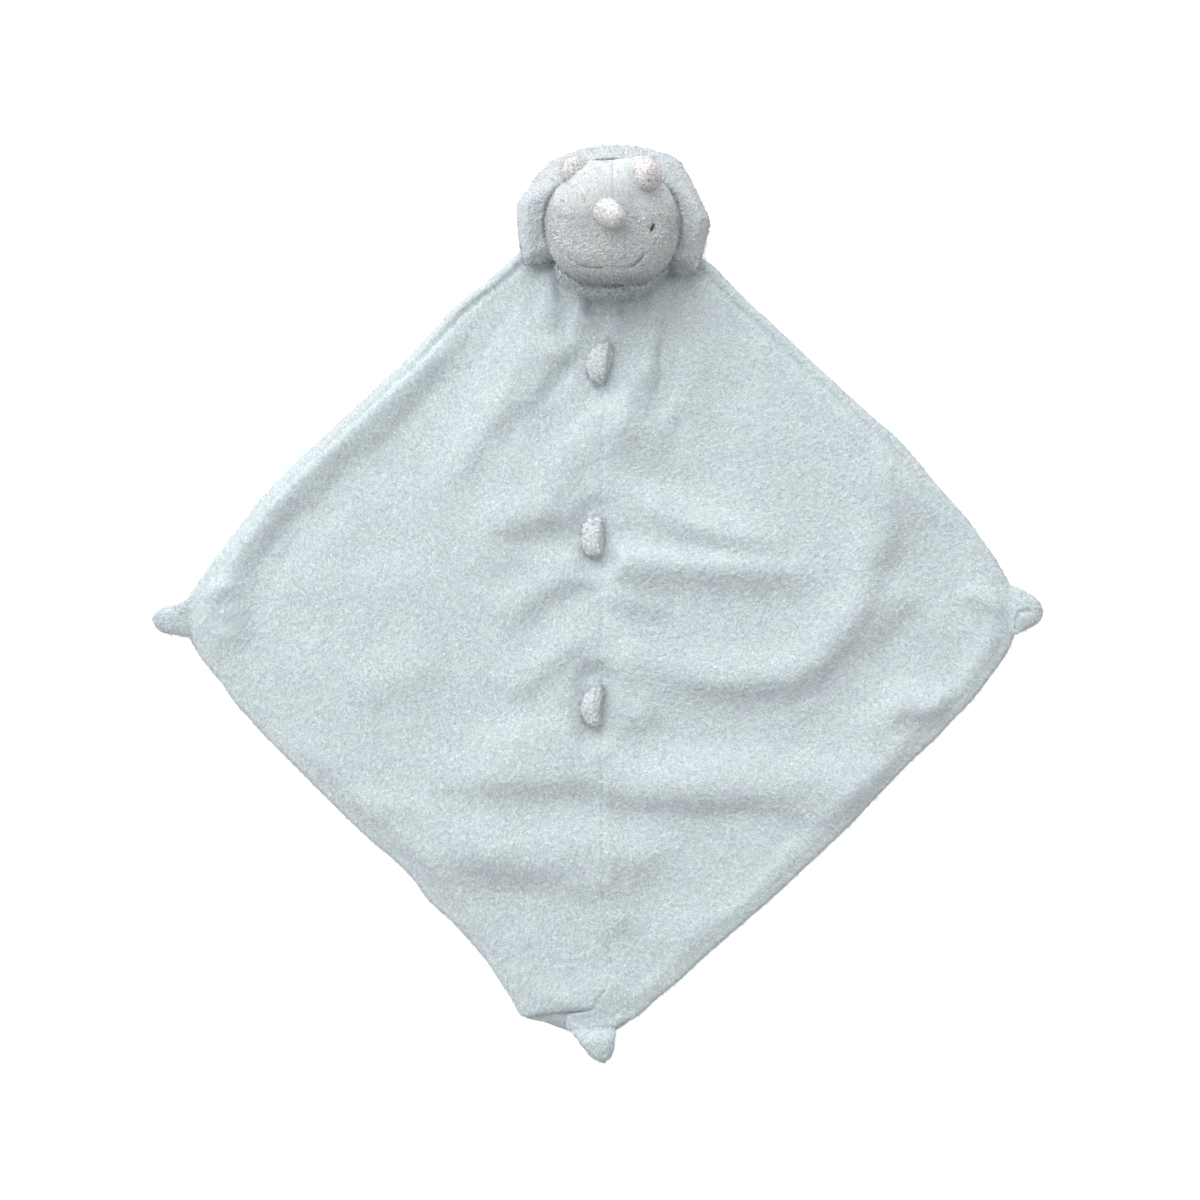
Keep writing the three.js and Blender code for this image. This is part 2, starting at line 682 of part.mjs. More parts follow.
function neckThread() {
  const ring = neck.waistRadius + clearance + neck.threadRadius;
  return finished(new THREE.TorusGeometry(ring, neck.threadRadius, threadSides, roundSteps));
}

// Plates in the seam: half a leaf with its straight root on the hinge line, before it leans
function plateForm() {
  const shape = new THREE.Shape();
  const half = plate.length / 2 - plate.round;
  shape.moveTo(-half, 0);
  shape.lineTo(half, 0);
  shape.absellipse(0, 0, half, plate.height - 2 * plate.round, 0, Math.PI, false, 0);
  const geometry = new THREE.ExtrudeGeometry(shape, {
    depth: plate.thickness - 2 * plate.round,
    bevelThickness: plate.round,
    bevelSize: plate.round,
    bevelSegments: bevelSteps,
    curveSegments: plateSteps,
  });
  geometry.translate(0, 0, plate.round - plate.thickness / 2);
  geometry.rotateX(Math.PI / 2);
  geometry.rotateZ(Math.PI / 2);
  return finished(geometry);
}

function spinePlate(name, share) {
  const y = share * halfLength;
  const reach = plate.length / 2;
  const slope = (seamX(y + reach) - seamX(y - reach)) / plate.length;
  const piece = mesh(name, plateForm(), plushBlue);
  piece.rotation.set(0, THREE.MathUtils.degToRad(-plate.leanDegrees), -Math.atan(slope), "ZYX");
  piece.position.set(seamX(y), y, flatTop + plate.thickness / 2 + clearance);
  return piece;
}

// The blanket, put together

function blanketGroup() {
  const group = new THREE.Group();
  group.add(
    mesh("back_panel", backPanel(), plushBlue),
    mesh("front_panel_left", frontPanel(leftSide, -1), plushBlue),
    mesh("front_panel_right", frontPanel(rightSide, 1), plushBlue),
    mesh("centre_seam_thread", seamThread(), threadBlue),
  );
  Object.entries(plateShares).forEach(([name, share]) => {
    group.add(spinePlate("spine_plate_" + name, share));
  });
  const left = mesh("corner_knot_left", knot(leftKnot), plushBlue);
  left.position.set(cornerX.left, knotCentre.left, 0);
  const rightForm = knot({ ...rightKnot, tipShift: -rightKnot.tipShift });
  const right = mesh("corner_knot_right", rightForm, plushBlue);
  right.rotation.z = Math.PI;
  right.position.set(cornerX.right, knotCentre.right, 0);
  const bottom = mesh("corner_knot_bottom", knot(bottomKnot), plushBlue);
  bottom.rotation.z = Math.PI / 2;
  bottom.position.set(knotCentre.bottom, tailY, 0);
  group.add(left, right, bottom);
  return group;
}

function neckGroup() {
  const group = new THREE.Group();
  group.position.set(neckX, neckY, flatTop + clearance);
  const thread = mesh("neck_thread", neckThread(), threadBlue);
  thread.position.z = neck.waistHeight;
  group.add(mesh("neck_gather", neckGather(), plushBlue), thread);
  return group;
}

function headGroup() {
  const group = new THREE.Group();
  group.position.set(neckX, neckY, 0);
  group.add(
    mesh("head_cover_left", headCover(-1), plushHead),
    mesh("head_cover_right", headCover(1), plushHead),
    mesh("head_filling", headFilling(), fibreWhite),
    mesh("lower_jaw", lowerJaw(), plushHead),
  );
  const horns = [
    ["brow_horn_left", browHorn, -1], ["brow_horn_right", browHorn, 1], ["nose_horn", noseHorn, 0],
  ];
  horns.forEach(([name, size, sign]) => {
    const rootX = sign === 0 ? size.rootX : sign * size.rootX;
    const lean = sign === 0
      ? new THREE.Vector3(size.leanXShare, size.leanYShare, 1)
      : new THREE.Vector3(sign * size.leanShare, size.leanShare, 1);
    const matrix = hornMatrix(new THREE.Vector3(rootX, size.rootY, size.rootZ), lean);
    group.add(mesh(name, hornCover(size, matrix), plushCream));
    group.add(mesh(name + "_filling", hornFilling(size, matrix), fibreWhite));
  });
  group.add(
    mesh("eye_left", eyePad(eyePlace.leftX, eyePlace.leftY, 1), threadBrown),
    mesh("eye_right", eyePad(eyePlace.rightX, eyePlace.rightY, -1), threadBrown),
    mesh("mouth_stitching", mouthStitching(), threadGrey),
  );
  const shield = new THREE.Group();
  shield.applyMatrix4(frillMatrix);
  shield.add(
    mesh("frill_front", frillHalf(1), plushBlue),
    mesh("frill_back", frillHalf(-1), plushBlue),
    mesh("frill_wadding", frillWadding(), fibreWhite),
  );
  group.add(shield);
  return group;
}

const lovey = new THREE.Group();
lovey.add(blanketGroup(), neckGroup(), headGroup());

export default lovey;
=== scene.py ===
import math
import bpy
import numpy as np
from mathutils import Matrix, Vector, noise


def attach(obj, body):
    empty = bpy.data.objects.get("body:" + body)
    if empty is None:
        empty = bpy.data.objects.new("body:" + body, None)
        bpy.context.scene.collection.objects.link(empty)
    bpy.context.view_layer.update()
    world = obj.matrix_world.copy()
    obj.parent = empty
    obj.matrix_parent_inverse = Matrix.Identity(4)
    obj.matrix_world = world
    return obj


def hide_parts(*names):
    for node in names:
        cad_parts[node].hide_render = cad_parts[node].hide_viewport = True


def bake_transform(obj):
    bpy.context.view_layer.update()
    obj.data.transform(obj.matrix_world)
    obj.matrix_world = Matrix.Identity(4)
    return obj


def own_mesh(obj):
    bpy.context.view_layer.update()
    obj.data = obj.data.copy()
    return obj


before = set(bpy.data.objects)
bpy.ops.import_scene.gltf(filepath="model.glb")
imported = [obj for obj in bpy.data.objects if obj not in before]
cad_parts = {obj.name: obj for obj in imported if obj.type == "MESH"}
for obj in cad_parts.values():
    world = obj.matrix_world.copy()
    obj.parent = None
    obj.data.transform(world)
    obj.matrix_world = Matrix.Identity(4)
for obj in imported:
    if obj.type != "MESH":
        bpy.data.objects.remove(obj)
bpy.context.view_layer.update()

# The sizes of the pieces are in millimetres, and makeMesh turns them into metres.
# The stage, the corners' start and end and the flat cut sizes are in metres.
millimetre = 0.001


# helpers for curves, meshes and pile

def ease(value, low, high):
    share = np.clip((np.asarray(value, float) - low) / (high - low), 0, 1)
    return share * share * (3 - 2 * share)


def bump(value, middle, width):
    return np.exp(-((np.asarray(value, float) - middle) / width) ** 2)


def smoothPath(points, count, closed=False, steps=20):
    # a Catmull-Rom curve through the points, cut into equal lengths
    spots = np.array(points, float)
    if closed:
        ends = np.vstack([spots[-1:], spots, spots[:2]])
    else:
        ends = np.vstack([2 * spots[0] - spots[1], spots, 2 * spots[-1] - spots[-2]])
    t = np.linspace(0, 1, steps, endpoint=False)[:, None]
    spans = [
        0.5 * (2 * b + (c - a) * t + (2 * a - 5 * b + 4 * c - d) * t ** 2
               + (3 * b - a - 3 * c + d) * t ** 3)
        for a, b, c, d in zip(ends, ends[1:], ends[2:], ends[3:])
    ]
    spans.append(spots[:1] if closed else spots[-1:])
    dense = np.vstack(spans)
    reach = np.concatenate([[0], np.cumsum(np.linalg.norm(np.diff(dense, axis=0), axis=1))])
    wanted = np.linspace(0, reach[-1], count, endpoint=not closed)
    return np.column_stack([np.interp(wanted, reach, dense[:, k]) for k in range(spots.shape[1])])


def nearPath(x, y, path):
    # distance to a path, the share of the way along it, and the side: +1 is left of its direction
    best = np.full(x.shape, 1e9)
    along = np.zeros(x.shape)
    side = np.ones(x.shape)
    count = len(path) - 1
    for k in range(count):
        a, b = path[k], path[k + 1]
        run = b - a
        length2 = max(run @ run, 1e-9)
        t = np.clip(((x - a[0]) * run[0] + (y - a[1]) * run[1]) / length2, 0, 1)
        dx, dy = x - a[0] - t * run[0], y - a[1] - t * run[1]
        gap = np.hypot(dx, dy)
        closer = gap < best
        best = np.where(closer, gap, best)
        along = np.where(closer, (k + t) / count, along)
        side = np.where(closer, np.sign(run[0] * dy - run[1] * dx), side)
    return best, along, side


def makeMesh(name, points, faces, material, smooth=True, pileShade=None):
    mesh = bpy.data.meshes.new(name)
    spots = np.asarray(points, float) * millimetre
    mesh.from_pydata(spots.tolist(), [], [tuple(int(i) for i in f) for f in faces])
    if smooth:
        mesh.polygons.foreach_set("use_smooth", [True] * len(mesh.polygons))
    rest = mesh.attributes.new("restPlace", "FLOAT_VECTOR", "POINT")
    rest.data.foreach_set("vector", spots.astype(np.float32).ravel())
    # the pile level, low in the partings, is kept for the painted shade there
    level = mesh.attributes.new("pileShade", "FLOAT", "POINT")
    level.data.foreach_set("value", (np.full(len(spots), 0.5) if pileShade is None else pileShade).astype(np.float32))
    mesh.materials.append(material)
    mesh.validate()
    mesh.update()
    return addObject(name, mesh)


def triangles(faces):
    return np.array([(f[0], f[k], f[k + 1]) for f in faces for k in range(1, len(f) - 1)])


def facedOut(points, faces):
    # turns all the faces round if they look inwards
    a, b, c = (points[triangles(faces)[:, k]] for k in range(3))
    inwards = np.einsum("ij,ij->i", a, np.cross(b, c)).sum() < 0
    return [tuple(reversed(f)) for f in faces] if inwards else faces


def vertexNormals(points, faces):
    corners = triangles(faces)
    a, b, c = (points[corners[:, k]] for k in range(3))
    flat = np.cross(b - a, c - a)
    normals = np.zeros_like(points)
    for k in range(3):
        np.add.at(normals, corners[:, k], flat)
    return normals / np.maximum(np.linalg.norm(normals, axis=1, keepdims=True), 1e-12)


def pile(points, size, seed=0.0):
    # curly tufts: 0 in the partings and 1 on the tips
    shift = Vector((seed, 2.3 * seed, 0.7 * seed))
    wide, fine = 1 / size, 1 / (0.52 * size)
    values = np.empty(len(points))
    for k, spot in enumerate(points.tolist()):
        at = Vector(spot) + shift
        bend = noise.noise(at * 0.21) * 1.9
        curl = Vector((at.x + bend, at.y - bend, at.z))
        big = abs(noise.noise(curl * wide))
        small = abs(noise.noise(curl * fine + Vector((7.1, 3.9, 1.3))))
        values[k] = 1.35 * big + 0.75 * small
    return np.clip(values, 0, 1)


def curls(points, normals, chance, look, seed, longer=None):
    # small bent tufts that stand out of the pile; chance says how likely a point grows one, as one number
    # or one for each point
    random = np.random.default_rng(seed)
    roots = np.flatnonzero(random.random(len(points)) < chance)
    spots, faces = [], []
    turn = 2 * math.pi * np.arange(3) / 3
    for k in roots:
        normal = normals[k]
        side = np.cross(normal, random.normal(size=3))
        side /= max(np.linalg.norm(side), 1e-6)
        other = np.cross(normal, side)
        length = look["length"] * random.uniform(0.6, 1.2) * (1 if longer is None else longer[k])
        bend = random.uniform(0.5, 1.1) * length
        base = len(spots)
        # three rings up the curl, each with its height and thickness as shares
        for step, (up, thin) in enumerate(((-0.2, 1.0), (0.45, 0.85), (0.8, 0.5))):
            middle = points[k] + normal * up * length + side * bend * max(up, 0) ** 2
            for angle in turn:
                ring = side * math.cos(angle) + other * math.sin(angle)
                spots.append(middle + look["thick"] * thin * (ring - 0.4 * normal * math.cos(angle) * step))
        spots.append(points[k] + normal * 0.78 * length + side * bend * 1.05)
        for ring in (0, 3):
            for m in range(3):
                n = (m + 1) % 3
                faces.append((base + ring + m, base + ring + n, base + ring + 3 + n, base + ring + 3 + m))
        faces += [(base + 6 + m, base + 6 + (m + 1) % 3, base + 9) for m in range(3)]
        faces.append((base + 2, base + 1, base))
    return np.array(spots).reshape(-1, 3), faces


# painted shade level of a curl's ten points, three rings and a tip: darker at the root, lighter towards the
# tip
curlShadeLevels = [0.3] * 3 + [0.6] * 3 + [0.9] * 3 + [0.95]


def plushPiece(name, points, faces, outer, coat, material, seed=0.0, chance=None, seam=(), brushedAndLit=0.0,
               longer=None):
    # the first points, as many as outer says, carry the pile; the rest is the wrong side of the cloth
    faces = facedOut(points, faces)
    # the pile level pushes the surface out, and is also kept for the painted shade in its partings
    level = np.full(len(points), 0.45)
    level[:outer] = pile(points[:outer], coat["size"], seed)
    # where the pile lies flatter, as on the forehead that faces the light, its tufts are lower and the
    # painted shade in its partings fainter: the forehead is painted lighter
    level = level + (0.6 - level) * brushedAndLit
    push = coat["depth"] * (level - 0.35)
    push[outer:] = 0
    normals = vertexNormals(points, [f for f in faces if max(f) < outer])
    points = points + normals * push[:, None]
    if chance is not None:
        spots, own = curls(points[:outer], normals[:outer], chance, coat["curl"], int(10 * seed) + 1, longer)
        faces = list(faces) + [tuple(len(points) + k for k in f) for f in own]
        points = np.vstack([points, spots])
        # the curls get painted shade at their roots
        level = np.concatenate([level, np.tile(curlShadeLevels, len(spots) // len(curlShadeLevels))])
    piece = makeMesh(name, points, faces, material, pileShade=level)
    if len(seam):
        # the sewn edge stays crisp
        onSeam = np.zeros(len(points), bool)
        onSeam[seam] = True
        ends = np.empty(2 * len(piece.data.edges), np.int32)
        piece.data.edges.foreach_get("vertices", ends)
        sharp = piece.data.attributes.new("sharp_edge", "BOOLEAN", "EDGE")
        sharp.data.foreach_set("value", onSeam[ends].reshape(-1, 2).all(axis=1))
    return piece


# grids of points, and closed forms made from them

def discGrid(rings, around):
    places = [(0.0, 0.0)]
    places += [(r / rings, 2 * math.pi * a / around) for r in range(1, rings + 1) for a in range(around)]
    faces = [(0, 1 + a, 1 + (a + 1) % around) for a in range(around)]
    for r in range(rings - 1):
        for a in range(around):
            b = (a + 1) % around
            low, high = 1 + r * around, 1 + (r + 1) * around
            faces.append((low + a, high + a, high + b, low + b))
    rim = [1 + (rings - 1) * around + a for a in range(around)]
    return np.array(places), faces, rim


def closeShell(points, faces, rim, low, lowFaces, lowRim):
    # joins a fine outer skin to a coarse inner one, round their rims
    ratio = len(rim) // len(lowRim)  # fine steps for each coarse one
    half = ratio // 2
    base = len(points)
    joined = list(faces) + [tuple(base + k for k in reversed(f)) for f in lowFaces]
    for k in range(len(lowRim)):
        near, far = base + lowRim[k], base + lowRim[(k + 1) % len(lowRim)]
        fine = [rim[(ratio * k + m) % len(rim)] for m in range(ratio + 1)]
        joined += [(fine[m + 1], fine[m], near) for m in range(half)]
        joined += [(fine[m + 1], fine[m], far) for m in range(half, ratio)]
        joined.append((fine[half], near, far))
    return np.vstack([points, low]), joined


def loft(stations, rows, around, roundness=2.0):
    # a closed form along stations, each (middle x, y, z, half width, half height, width direction x, y);
    # the ends close to a point
    line = smoothPath(stations, rows + 1)
    turn = np.linspace(0, 2 * math.pi, around, endpoint=False)
    side = np.sign(np.cos(turn)) * np.abs(np.cos(turn)) ** (2 / roundness)
    up = np.sign(np.sin(turn)) * np.abs(np.sin(turn)) ** (2 / roundness)
    points, faces = [line[0, :3]], []
    for k in range(1, rows):
        x, y, z, halfWidth, halfHeight, dx, dy = line[k]
        length = math.hypot(dx, dy)
        across = np.outer(side, (dx / length, dy / length, 0)) * max(halfWidth, 0.05)
        points.extend(np.array((x, y, z)) + across + np.outer(up, (0, 0, 1)) * max(halfHeight, 0.05))
    points.append(line[-1, :3])
    last = len(points) - 1
    for a in range(around):
        b = (a + 1) % around
        end = 1 + (rows - 2) * around
        faces += [(0, 1 + b, 1 + a), (last, end + a, end + b)]
        for k in range(rows - 2):
            low, high = 1 + k * around, 1 + (k + 1) * around
            faces.append((low + a, low + b, high + b, high + a))
    return np.array(points), faces


def tubeFaces(rings, around):
    faces = []
    for r in range(rings - 1):
        for a in range(around):
            b = (a + 1) % around
            faces.append((r * around + a, r * around + b, (r + 1) * around + b, (r + 1) * around + a))
    faces.append(tuple(range(around - 1, -1, -1)))
    faces.append(tuple((rings - 1) * around + a for a in range(around)))
    return faces


def thread(path, radius, sides=6):
    # a closed tube along the path
    path = np.array(path, float)
    points = []
    for k, spot in enumerate(path):
        run = path[min(k + 1, len(path) - 1)] - path[max(k - 1, 0)]
        run = run / max(np.linalg.norm(run), 1e-9)
        across = np.cross(run, (0.0, 0.0, 1.0) if abs(run[2]) < 0.9 else (1.0, 0.0, 0.0))
        across /= np.linalg.norm(across)
        up = np.cross(across, run)
        thin = 0.45 if k in (0, len(path) - 1) else 1.0
        for a in range(sides):
            turn = 2 * math.pi * a / sides
            points.append(spot + thin * radius * (across * math.cos(turn) + up * math.sin(turn)))
    return np.array(points), tubeFaces(len(path), sides)


def tell(piece, node, body=None):
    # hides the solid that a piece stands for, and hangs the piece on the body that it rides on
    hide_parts(node)
    if body:
        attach(piece, body)


def bundle(parts):
    # several closed forms as one mesh
    points, faces, base = [], [], 0
    for spots, own in parts:
        points.append(spots)
        faces += [tuple(base + k for k in f) for f in facedOut(spots - spots.mean(0), own)]
        base += len(spots)
    return np.vstack(points), faces


# light, floor and camera

studio = {
    "cameraPlace": (0.00113, 0.0017, 1.513),
    "lens": 80,
    "sensor": 36,
    "keyFrom": (-0.77, 1.53, 1.34),
    "keySize": 1.9,
    "keyPower": 23.8,
    "skyStrength": 0.397,
    "skyLean": 1.09,  # how much brighter the sky is towards the key light
    "floorGlow": 0.55,
    "floorColour": (0.86, 0.86, 0.86, 1),
    "floorSize": 12,
    "floorHeight": -0.0002,
}


def feed(node, inputs):
    # a socket of another node is linked; anything else is the input's value
    for key, value in inputs.items():
        if isinstance(value, bpy.types.NodeSocket):
            node.id_data.links.new(value, node.inputs[key])
        else:
            node.inputs[key].default_value = value


def addNode(tree, kind, inputs, **settings):
    node = tree.nodes.new("ShaderNode" + kind)
    for key, value in settings.items():
        setattr(node, key, value)
    feed(node, inputs)
    return node


def newMat(name):
    mat = bpy.data.materials.new(name)
    mat.use_nodes = True
    return mat, mat.node_tree, mat.node_tree.nodes["Principled BSDF"]


def addObject(name, data, place=(0, 0, 0)):
    thing = bpy.data.objects.new(name, data)
    thing.location = place
    bpy.context.scene.collection.objects.link(thing)
    return thing


def setStage():
    camera = bpy.data.cameras.new("camera")
    camera.lens = studio["lens"]
    camera.sensor_width = studio["sensor"]
    bpy.context.scene.camera = addObject("camera", camera, studio["cameraPlace"])

    key = bpy.data.lights.new("windowLight", "AREA")
    key.shape = "DISK"
    key.size = studio["keySize"]
    key.energy = studio["keyPower"]
    lamp = addObject("windowLight", key, studio["keyFrom"])
    lamp.rotation_euler = (-Vector(studio["keyFrom"])).to_track_quat("-Z", "Y").to_euler()

    world = bpy.data.worlds.new("room")
    world.use_nodes = True
    tree = world.node_tree
    heading = addNode(tree, "TexCoord", {}).outputs["Generated"]
    keyWay = Vector(studio["keyFrom"]).normalized()
    towards = addNode(tree, "VectorMath", {0: heading, 1: keyWay}, operation="DOT_PRODUCT")
    level = addNode(tree, "MapRange", {
        "Value": towards.outputs["Value"],
        "To Min": studio["skyStrength"], "To Max": studio["skyStrength"] + studio["skyLean"],
    })
    feed(tree.nodes["Background"], {"Color": (1, 1, 1, 1), "Strength": level.outputs["Result"]})
    bpy.context.scene.world = world
    bpy.context.scene.view_settings.view_transform = "Standard"

    floorMat, tree, shader = newMat("paleTable")
    seen = addNode(tree, "LightPath", {}).outputs["Is Camera Ray"]
    glow = addNode(tree, "Math", {0: seen, 1: studio["floorGlow"]}, operation="MULTIPLY")
    feed(shader, {
        "Base Color": studio["floorColour"], "Roughness": 0.9,
        "Emission Color": (1, 1, 1, 1), "Emission Strength": glow.outputs[0],
    })
    bpy.ops.mesh.primitive_grid_add(
        size=studio["floorSize"], x_subdivisions=4, y_subdivisions=4, location=(0, 0, studio["floorHeight"]))
    floor = bpy.context.object
    floor.name = "floor"
    floor.data.materials.append(floorMat)


setStage()
print("stage set")


# materials

def linear(colour):
    return tuple(((c / 255 + 0.055) / 1.055) ** 2.4 if c > 10 else c / 3294.6 for c in colour)


def plushMat(name, look):
    mat, tree, shader = newMat(name)
    place = addNode(tree, "Attribute", {}, attribute_name="restPlace").outputs["Vector"]
    pileShade = addNode(tree, "Attribute", {}, attribute_name="pileShade").outputs["Fac"]
    # the tufts lie slantwise
    lie = addNode(tree, "Mapping", {
        "Rotation": (0, 0, look["lieTurn"]), "Scale": look["lieScale"], "Vector": place,
    }).outputs["Vector"]

    def cloud(scale, detail, distortion):
        inputs = {"Scale": scale, "Detail": detail, "Distortion": distortion, "Vector": lie}
        return addNode(tree, "TexNoise", inputs).outputs["Fac"]

    def spread(source, low, high, toLow, toHigh):
        inputs = {"From Min": low, "From Max": high, "To Min": toLow, "To Max": toHigh, "Value": source}
        return addNode(tree, "MapRange", inputs).outputs["Result"]

    def times(one, two):
        return addNode(tree, "Math", {0: one, 1: two}, operation="MULTIPLY").outputs[0]

    patches = cloud(look["patchScale"], 2, 0.4)
    strokes = cloud(look["curlScale"], 3, 2.2)
    fibres = cloud(look["fibreScale"], 2, 1.2)
    tint = addNode(tree, "Mix", {
        "A": (*linear(look["colour"]), 1), "B": (*linear(look["shade"]), 1),
        "Factor": spread(patches, 0.35, 0.7, 0, 1),
    }, data_type="RGBA")
    # painted shade: the base colour is darker in the pile's partings
    level = times(
        spread(pileShade, 0.0, 0.8, 1 - look["partingShade"], 1.0),
        # painted shade and painted highlight: darker in the lows and lighter on the highs of the curl noise,
        # which is also the bump's height
        spread(strokes, 0.36, 0.64, 1 - look["curlShade"], 1 + 0.7 * look["curlShade"]),
    )
    # painted shade and painted highlight on the fibres, whose noise is also the fine bump's height
    level = times(level, spread(fibres, 0.3, 0.7, 1 - look["fibreShade"], 1 + look["fibreShade"]))
    shade = addNode(tree, "VectorMath", {0: tint.outputs["Result"], "Scale": level}, operation="SCALE")
    relief = addNode(tree, "Bump", {"Strength": look["relief"], "Distance": 0.0008, "Height": strokes})
    fluff = addNode(tree, "Bump", {
        "Strength": 0.6 * look["relief"], "Distance": 0.0003, "Height": fibres,
        "Normal": relief.outputs["Normal"],
    })
    feed(shader, {
        "Base Color": shade.outputs["Vector"], "Roughness": 0.95, "Specular IOR Level": 0.12,
        "Sheen Weight": look["sheen"], "Sheen Roughness": 0.55, "Sheen Tint": (0.94, 0.97, 1, 1),
        "Normal": fluff.outputs["Normal"],
    })
    return mat


# the depths of the partings, curls and fibres say how much painted shade and painted highlight they get
plushLook = {
    "colour": (218, 230, 232), "shade": (214, 226, 231), "sheen": 0.2,
    "patchScale": 60, "curlScale": 1100, "fibreScale": 1900, "lieTurn": -0.6, "lieScale": (0.8, 1.2, 1.0),
    "partingShade": 0.2, "curlShade": 0.3, "fibreShade": 0.26, "relief": 0.7,
}
plushColours = {
    "blanketPlush": {},
    # a lighter copy of the blanket's plush, for the plates and the jaw, which lie in shade: painted light
    "paintedLightPlush": {"colour": (234, 241, 243), "shade": (230, 237, 241)},
    # the head's plush is lighter than the blanket's, against the shade of its own pile: painted light
    "headPaintedLightPlush": {"colour": (229, 234, 235), "shade": (224, 229, 232), "partingShade": 0.24},
    "frillPlush": {"colour": (219, 226, 229), "shade": (214, 220, 226), "partingShade": 0.24},
    "creamPlush": {"colour": (241, 241, 241), "shade": (239, 234, 234), "partingShade": 0.1},
}
blanketPlush, paintedLightPlush, headPaintedLightPlush, frillPlush, creamPlush = (
    plushMat(name, {**plushLook, **own}) for name, own in plushColours.items())


def threadMat(name, colour, twist):
    mat, tree, shader = newMat(name)
    place = addNode(tree, "Attribute", {}, attribute_name="restPlace").outputs["Vector"]
    strands = addNode(tree, "TexNoise", {"Scale": twist, "Vector": place}).outputs["Fac"]
    # painted shade: the strands are darker in the lows of the noise that is also their bump's height
    shades = addNode(tree, "Mix", {
        "A": (*(0.75 * c for c in linear(colour)), 1), "B": (*linear(colour), 1), "Factor": strands,
    }, data_type="RGBA")
    relief = addNode(tree, "Bump", {"Strength": 0.4, "Distance": 0.0002, "Height": strands})
    feed(shader, {
        "Base Color": shades.outputs["Result"], "Roughness": 0.6, "Normal": relief.outputs["Normal"],
    })
    return mat


paleThread = threadMat("paleThread", (214, 224, 228), 1800)
brownThread = threadMat("brownThread", (88, 70, 52), 2200)
greyThread = threadMat("greyThread", (128, 116, 106), 2200)
fibreFilling = threadMat("fibreFilling", (240, 240, 238), 500)
print("materials ready")


# the blanket's measures; its hems, pile and corners are further down

blanket = {
    "thickness": 2.2,
    "frontBase": 2.5,  # underside of the front cloth
    "frontTop": 4.7,  # its top where it has no fold
    "seamX": 2.5,
    "seamDrift": 5.5,  # the seam drifts right towards the neck
    "driftFrom": 98.4,
    "driftTo": 176.1,
    "lowDrift": 4.0, "lowSpan": (150, 205),  # right again below the plates
    "tailDrift": -8.5, "tailSpan": (212, 230.6),  # and left at the tail
    "endDrift": -16.0, "endSpan": (230.6, 232.6),
    "cells": 380,  # along each side of a front panel
    "seamDip": 0.5,
    "tailFade": (-238, -210),  # folds die out towards the tail, between these two y
    "flatFront": (0.240, 0.446),  # cut size of a front panel and of the back, in metres
    "flatBack": (0.472, 0.449),
}
neckSpot = (8.0, 188.357)

# outlines of the blanket's sides, from the neck outwards and down
leftUpper = [
    (8, 205.4), (-7, 205.2), (-25, 202.6), (-43.5, 198.2), (-52.6, 191.3), (-62.8, 182.2), (-77, 171.5),
    (-88, 160.2), (-98.4, 148.8), (-108.9, 137.5), (-121.2, 126.2), (-133.2, 114.9), (-145.5, 103.6),
    (-157.6, 92.2), (-169.8, 80.9), (-181.2, 69.6), (-191.6, 58.3), (-200.6, 47), (-208.9, 35.6),
    (-217.3, 24.3), (-225.6, 13), (-233.3, 1.2),
]
leftLower = [
    (-233.3, 1.2), (-233.9, -9), (-231.5, -19), (-223.9, -32.3), (-214.4, -43.6), (-206.6, -54.9),
    (-196.8, -66.2), (-186.4, -77.6), (-175, -88.9), (-163.8, -100.2), (-152.6, -111.5), (-141.1, -122.8),
    (-128.9, -134.2), (-115.6, -145.5), (-104.4, -156.8), (-96.4, -168.1), (-83.8, -179.4), (-73.2, -190.8),
    (-63.6, -202.1), (-56.2, -213.4), (-48.6, -224.7), (-45, -232), (-41, -234.2), (-30.5, -233),
    (-18, -231.6), (-6, -230.8), (-2.1, -230.5),
]
rightUpper = [
    (8, 205.4), (23, 205.2), (42, 201.8), (56, 196.2), (64.5, 191.3), (73.6, 182.2), (84, 171.5),
    (96.2, 160.2), (108.6, 148.8), (120.3, 137.5), (132.6, 126.2), (144.9, 114.9), (157.6, 103.6),
    (170.6, 92.2), (180.6, 80.9), (189.6, 69.6), (199.6, 58.3), (209.6, 47), (217.6, 35.6), (225.6, 24.3),
    (231.9, 13), (234.6, 6.5),
]
rightLower = [
    (234.6, 6.5), (236, -4), (236.5, -14), (231.6, -28), (220.6, -43.6), (211.8, -54.9), (201, -66.2),
    (190.2, -77.6), (178, -88.9), (167, -100.2), (156, -111.5), (145.6, -122.8), (134, -134.2),
    (121.8, -145.5), (109.8, -156.8), (97.6, -168.1), (84.4, -179.4), (71.2, -190.8), (58.4, -202.1),
    (46.4, -213.4), (32.6, -224.7), (22.6, -233.8), (14, -238), (9.3, -240.6), (2, -241.4), (-4, -241.7),
    (-9.5, -246), (-12.5, -244.5), (-18, -241.5),
]

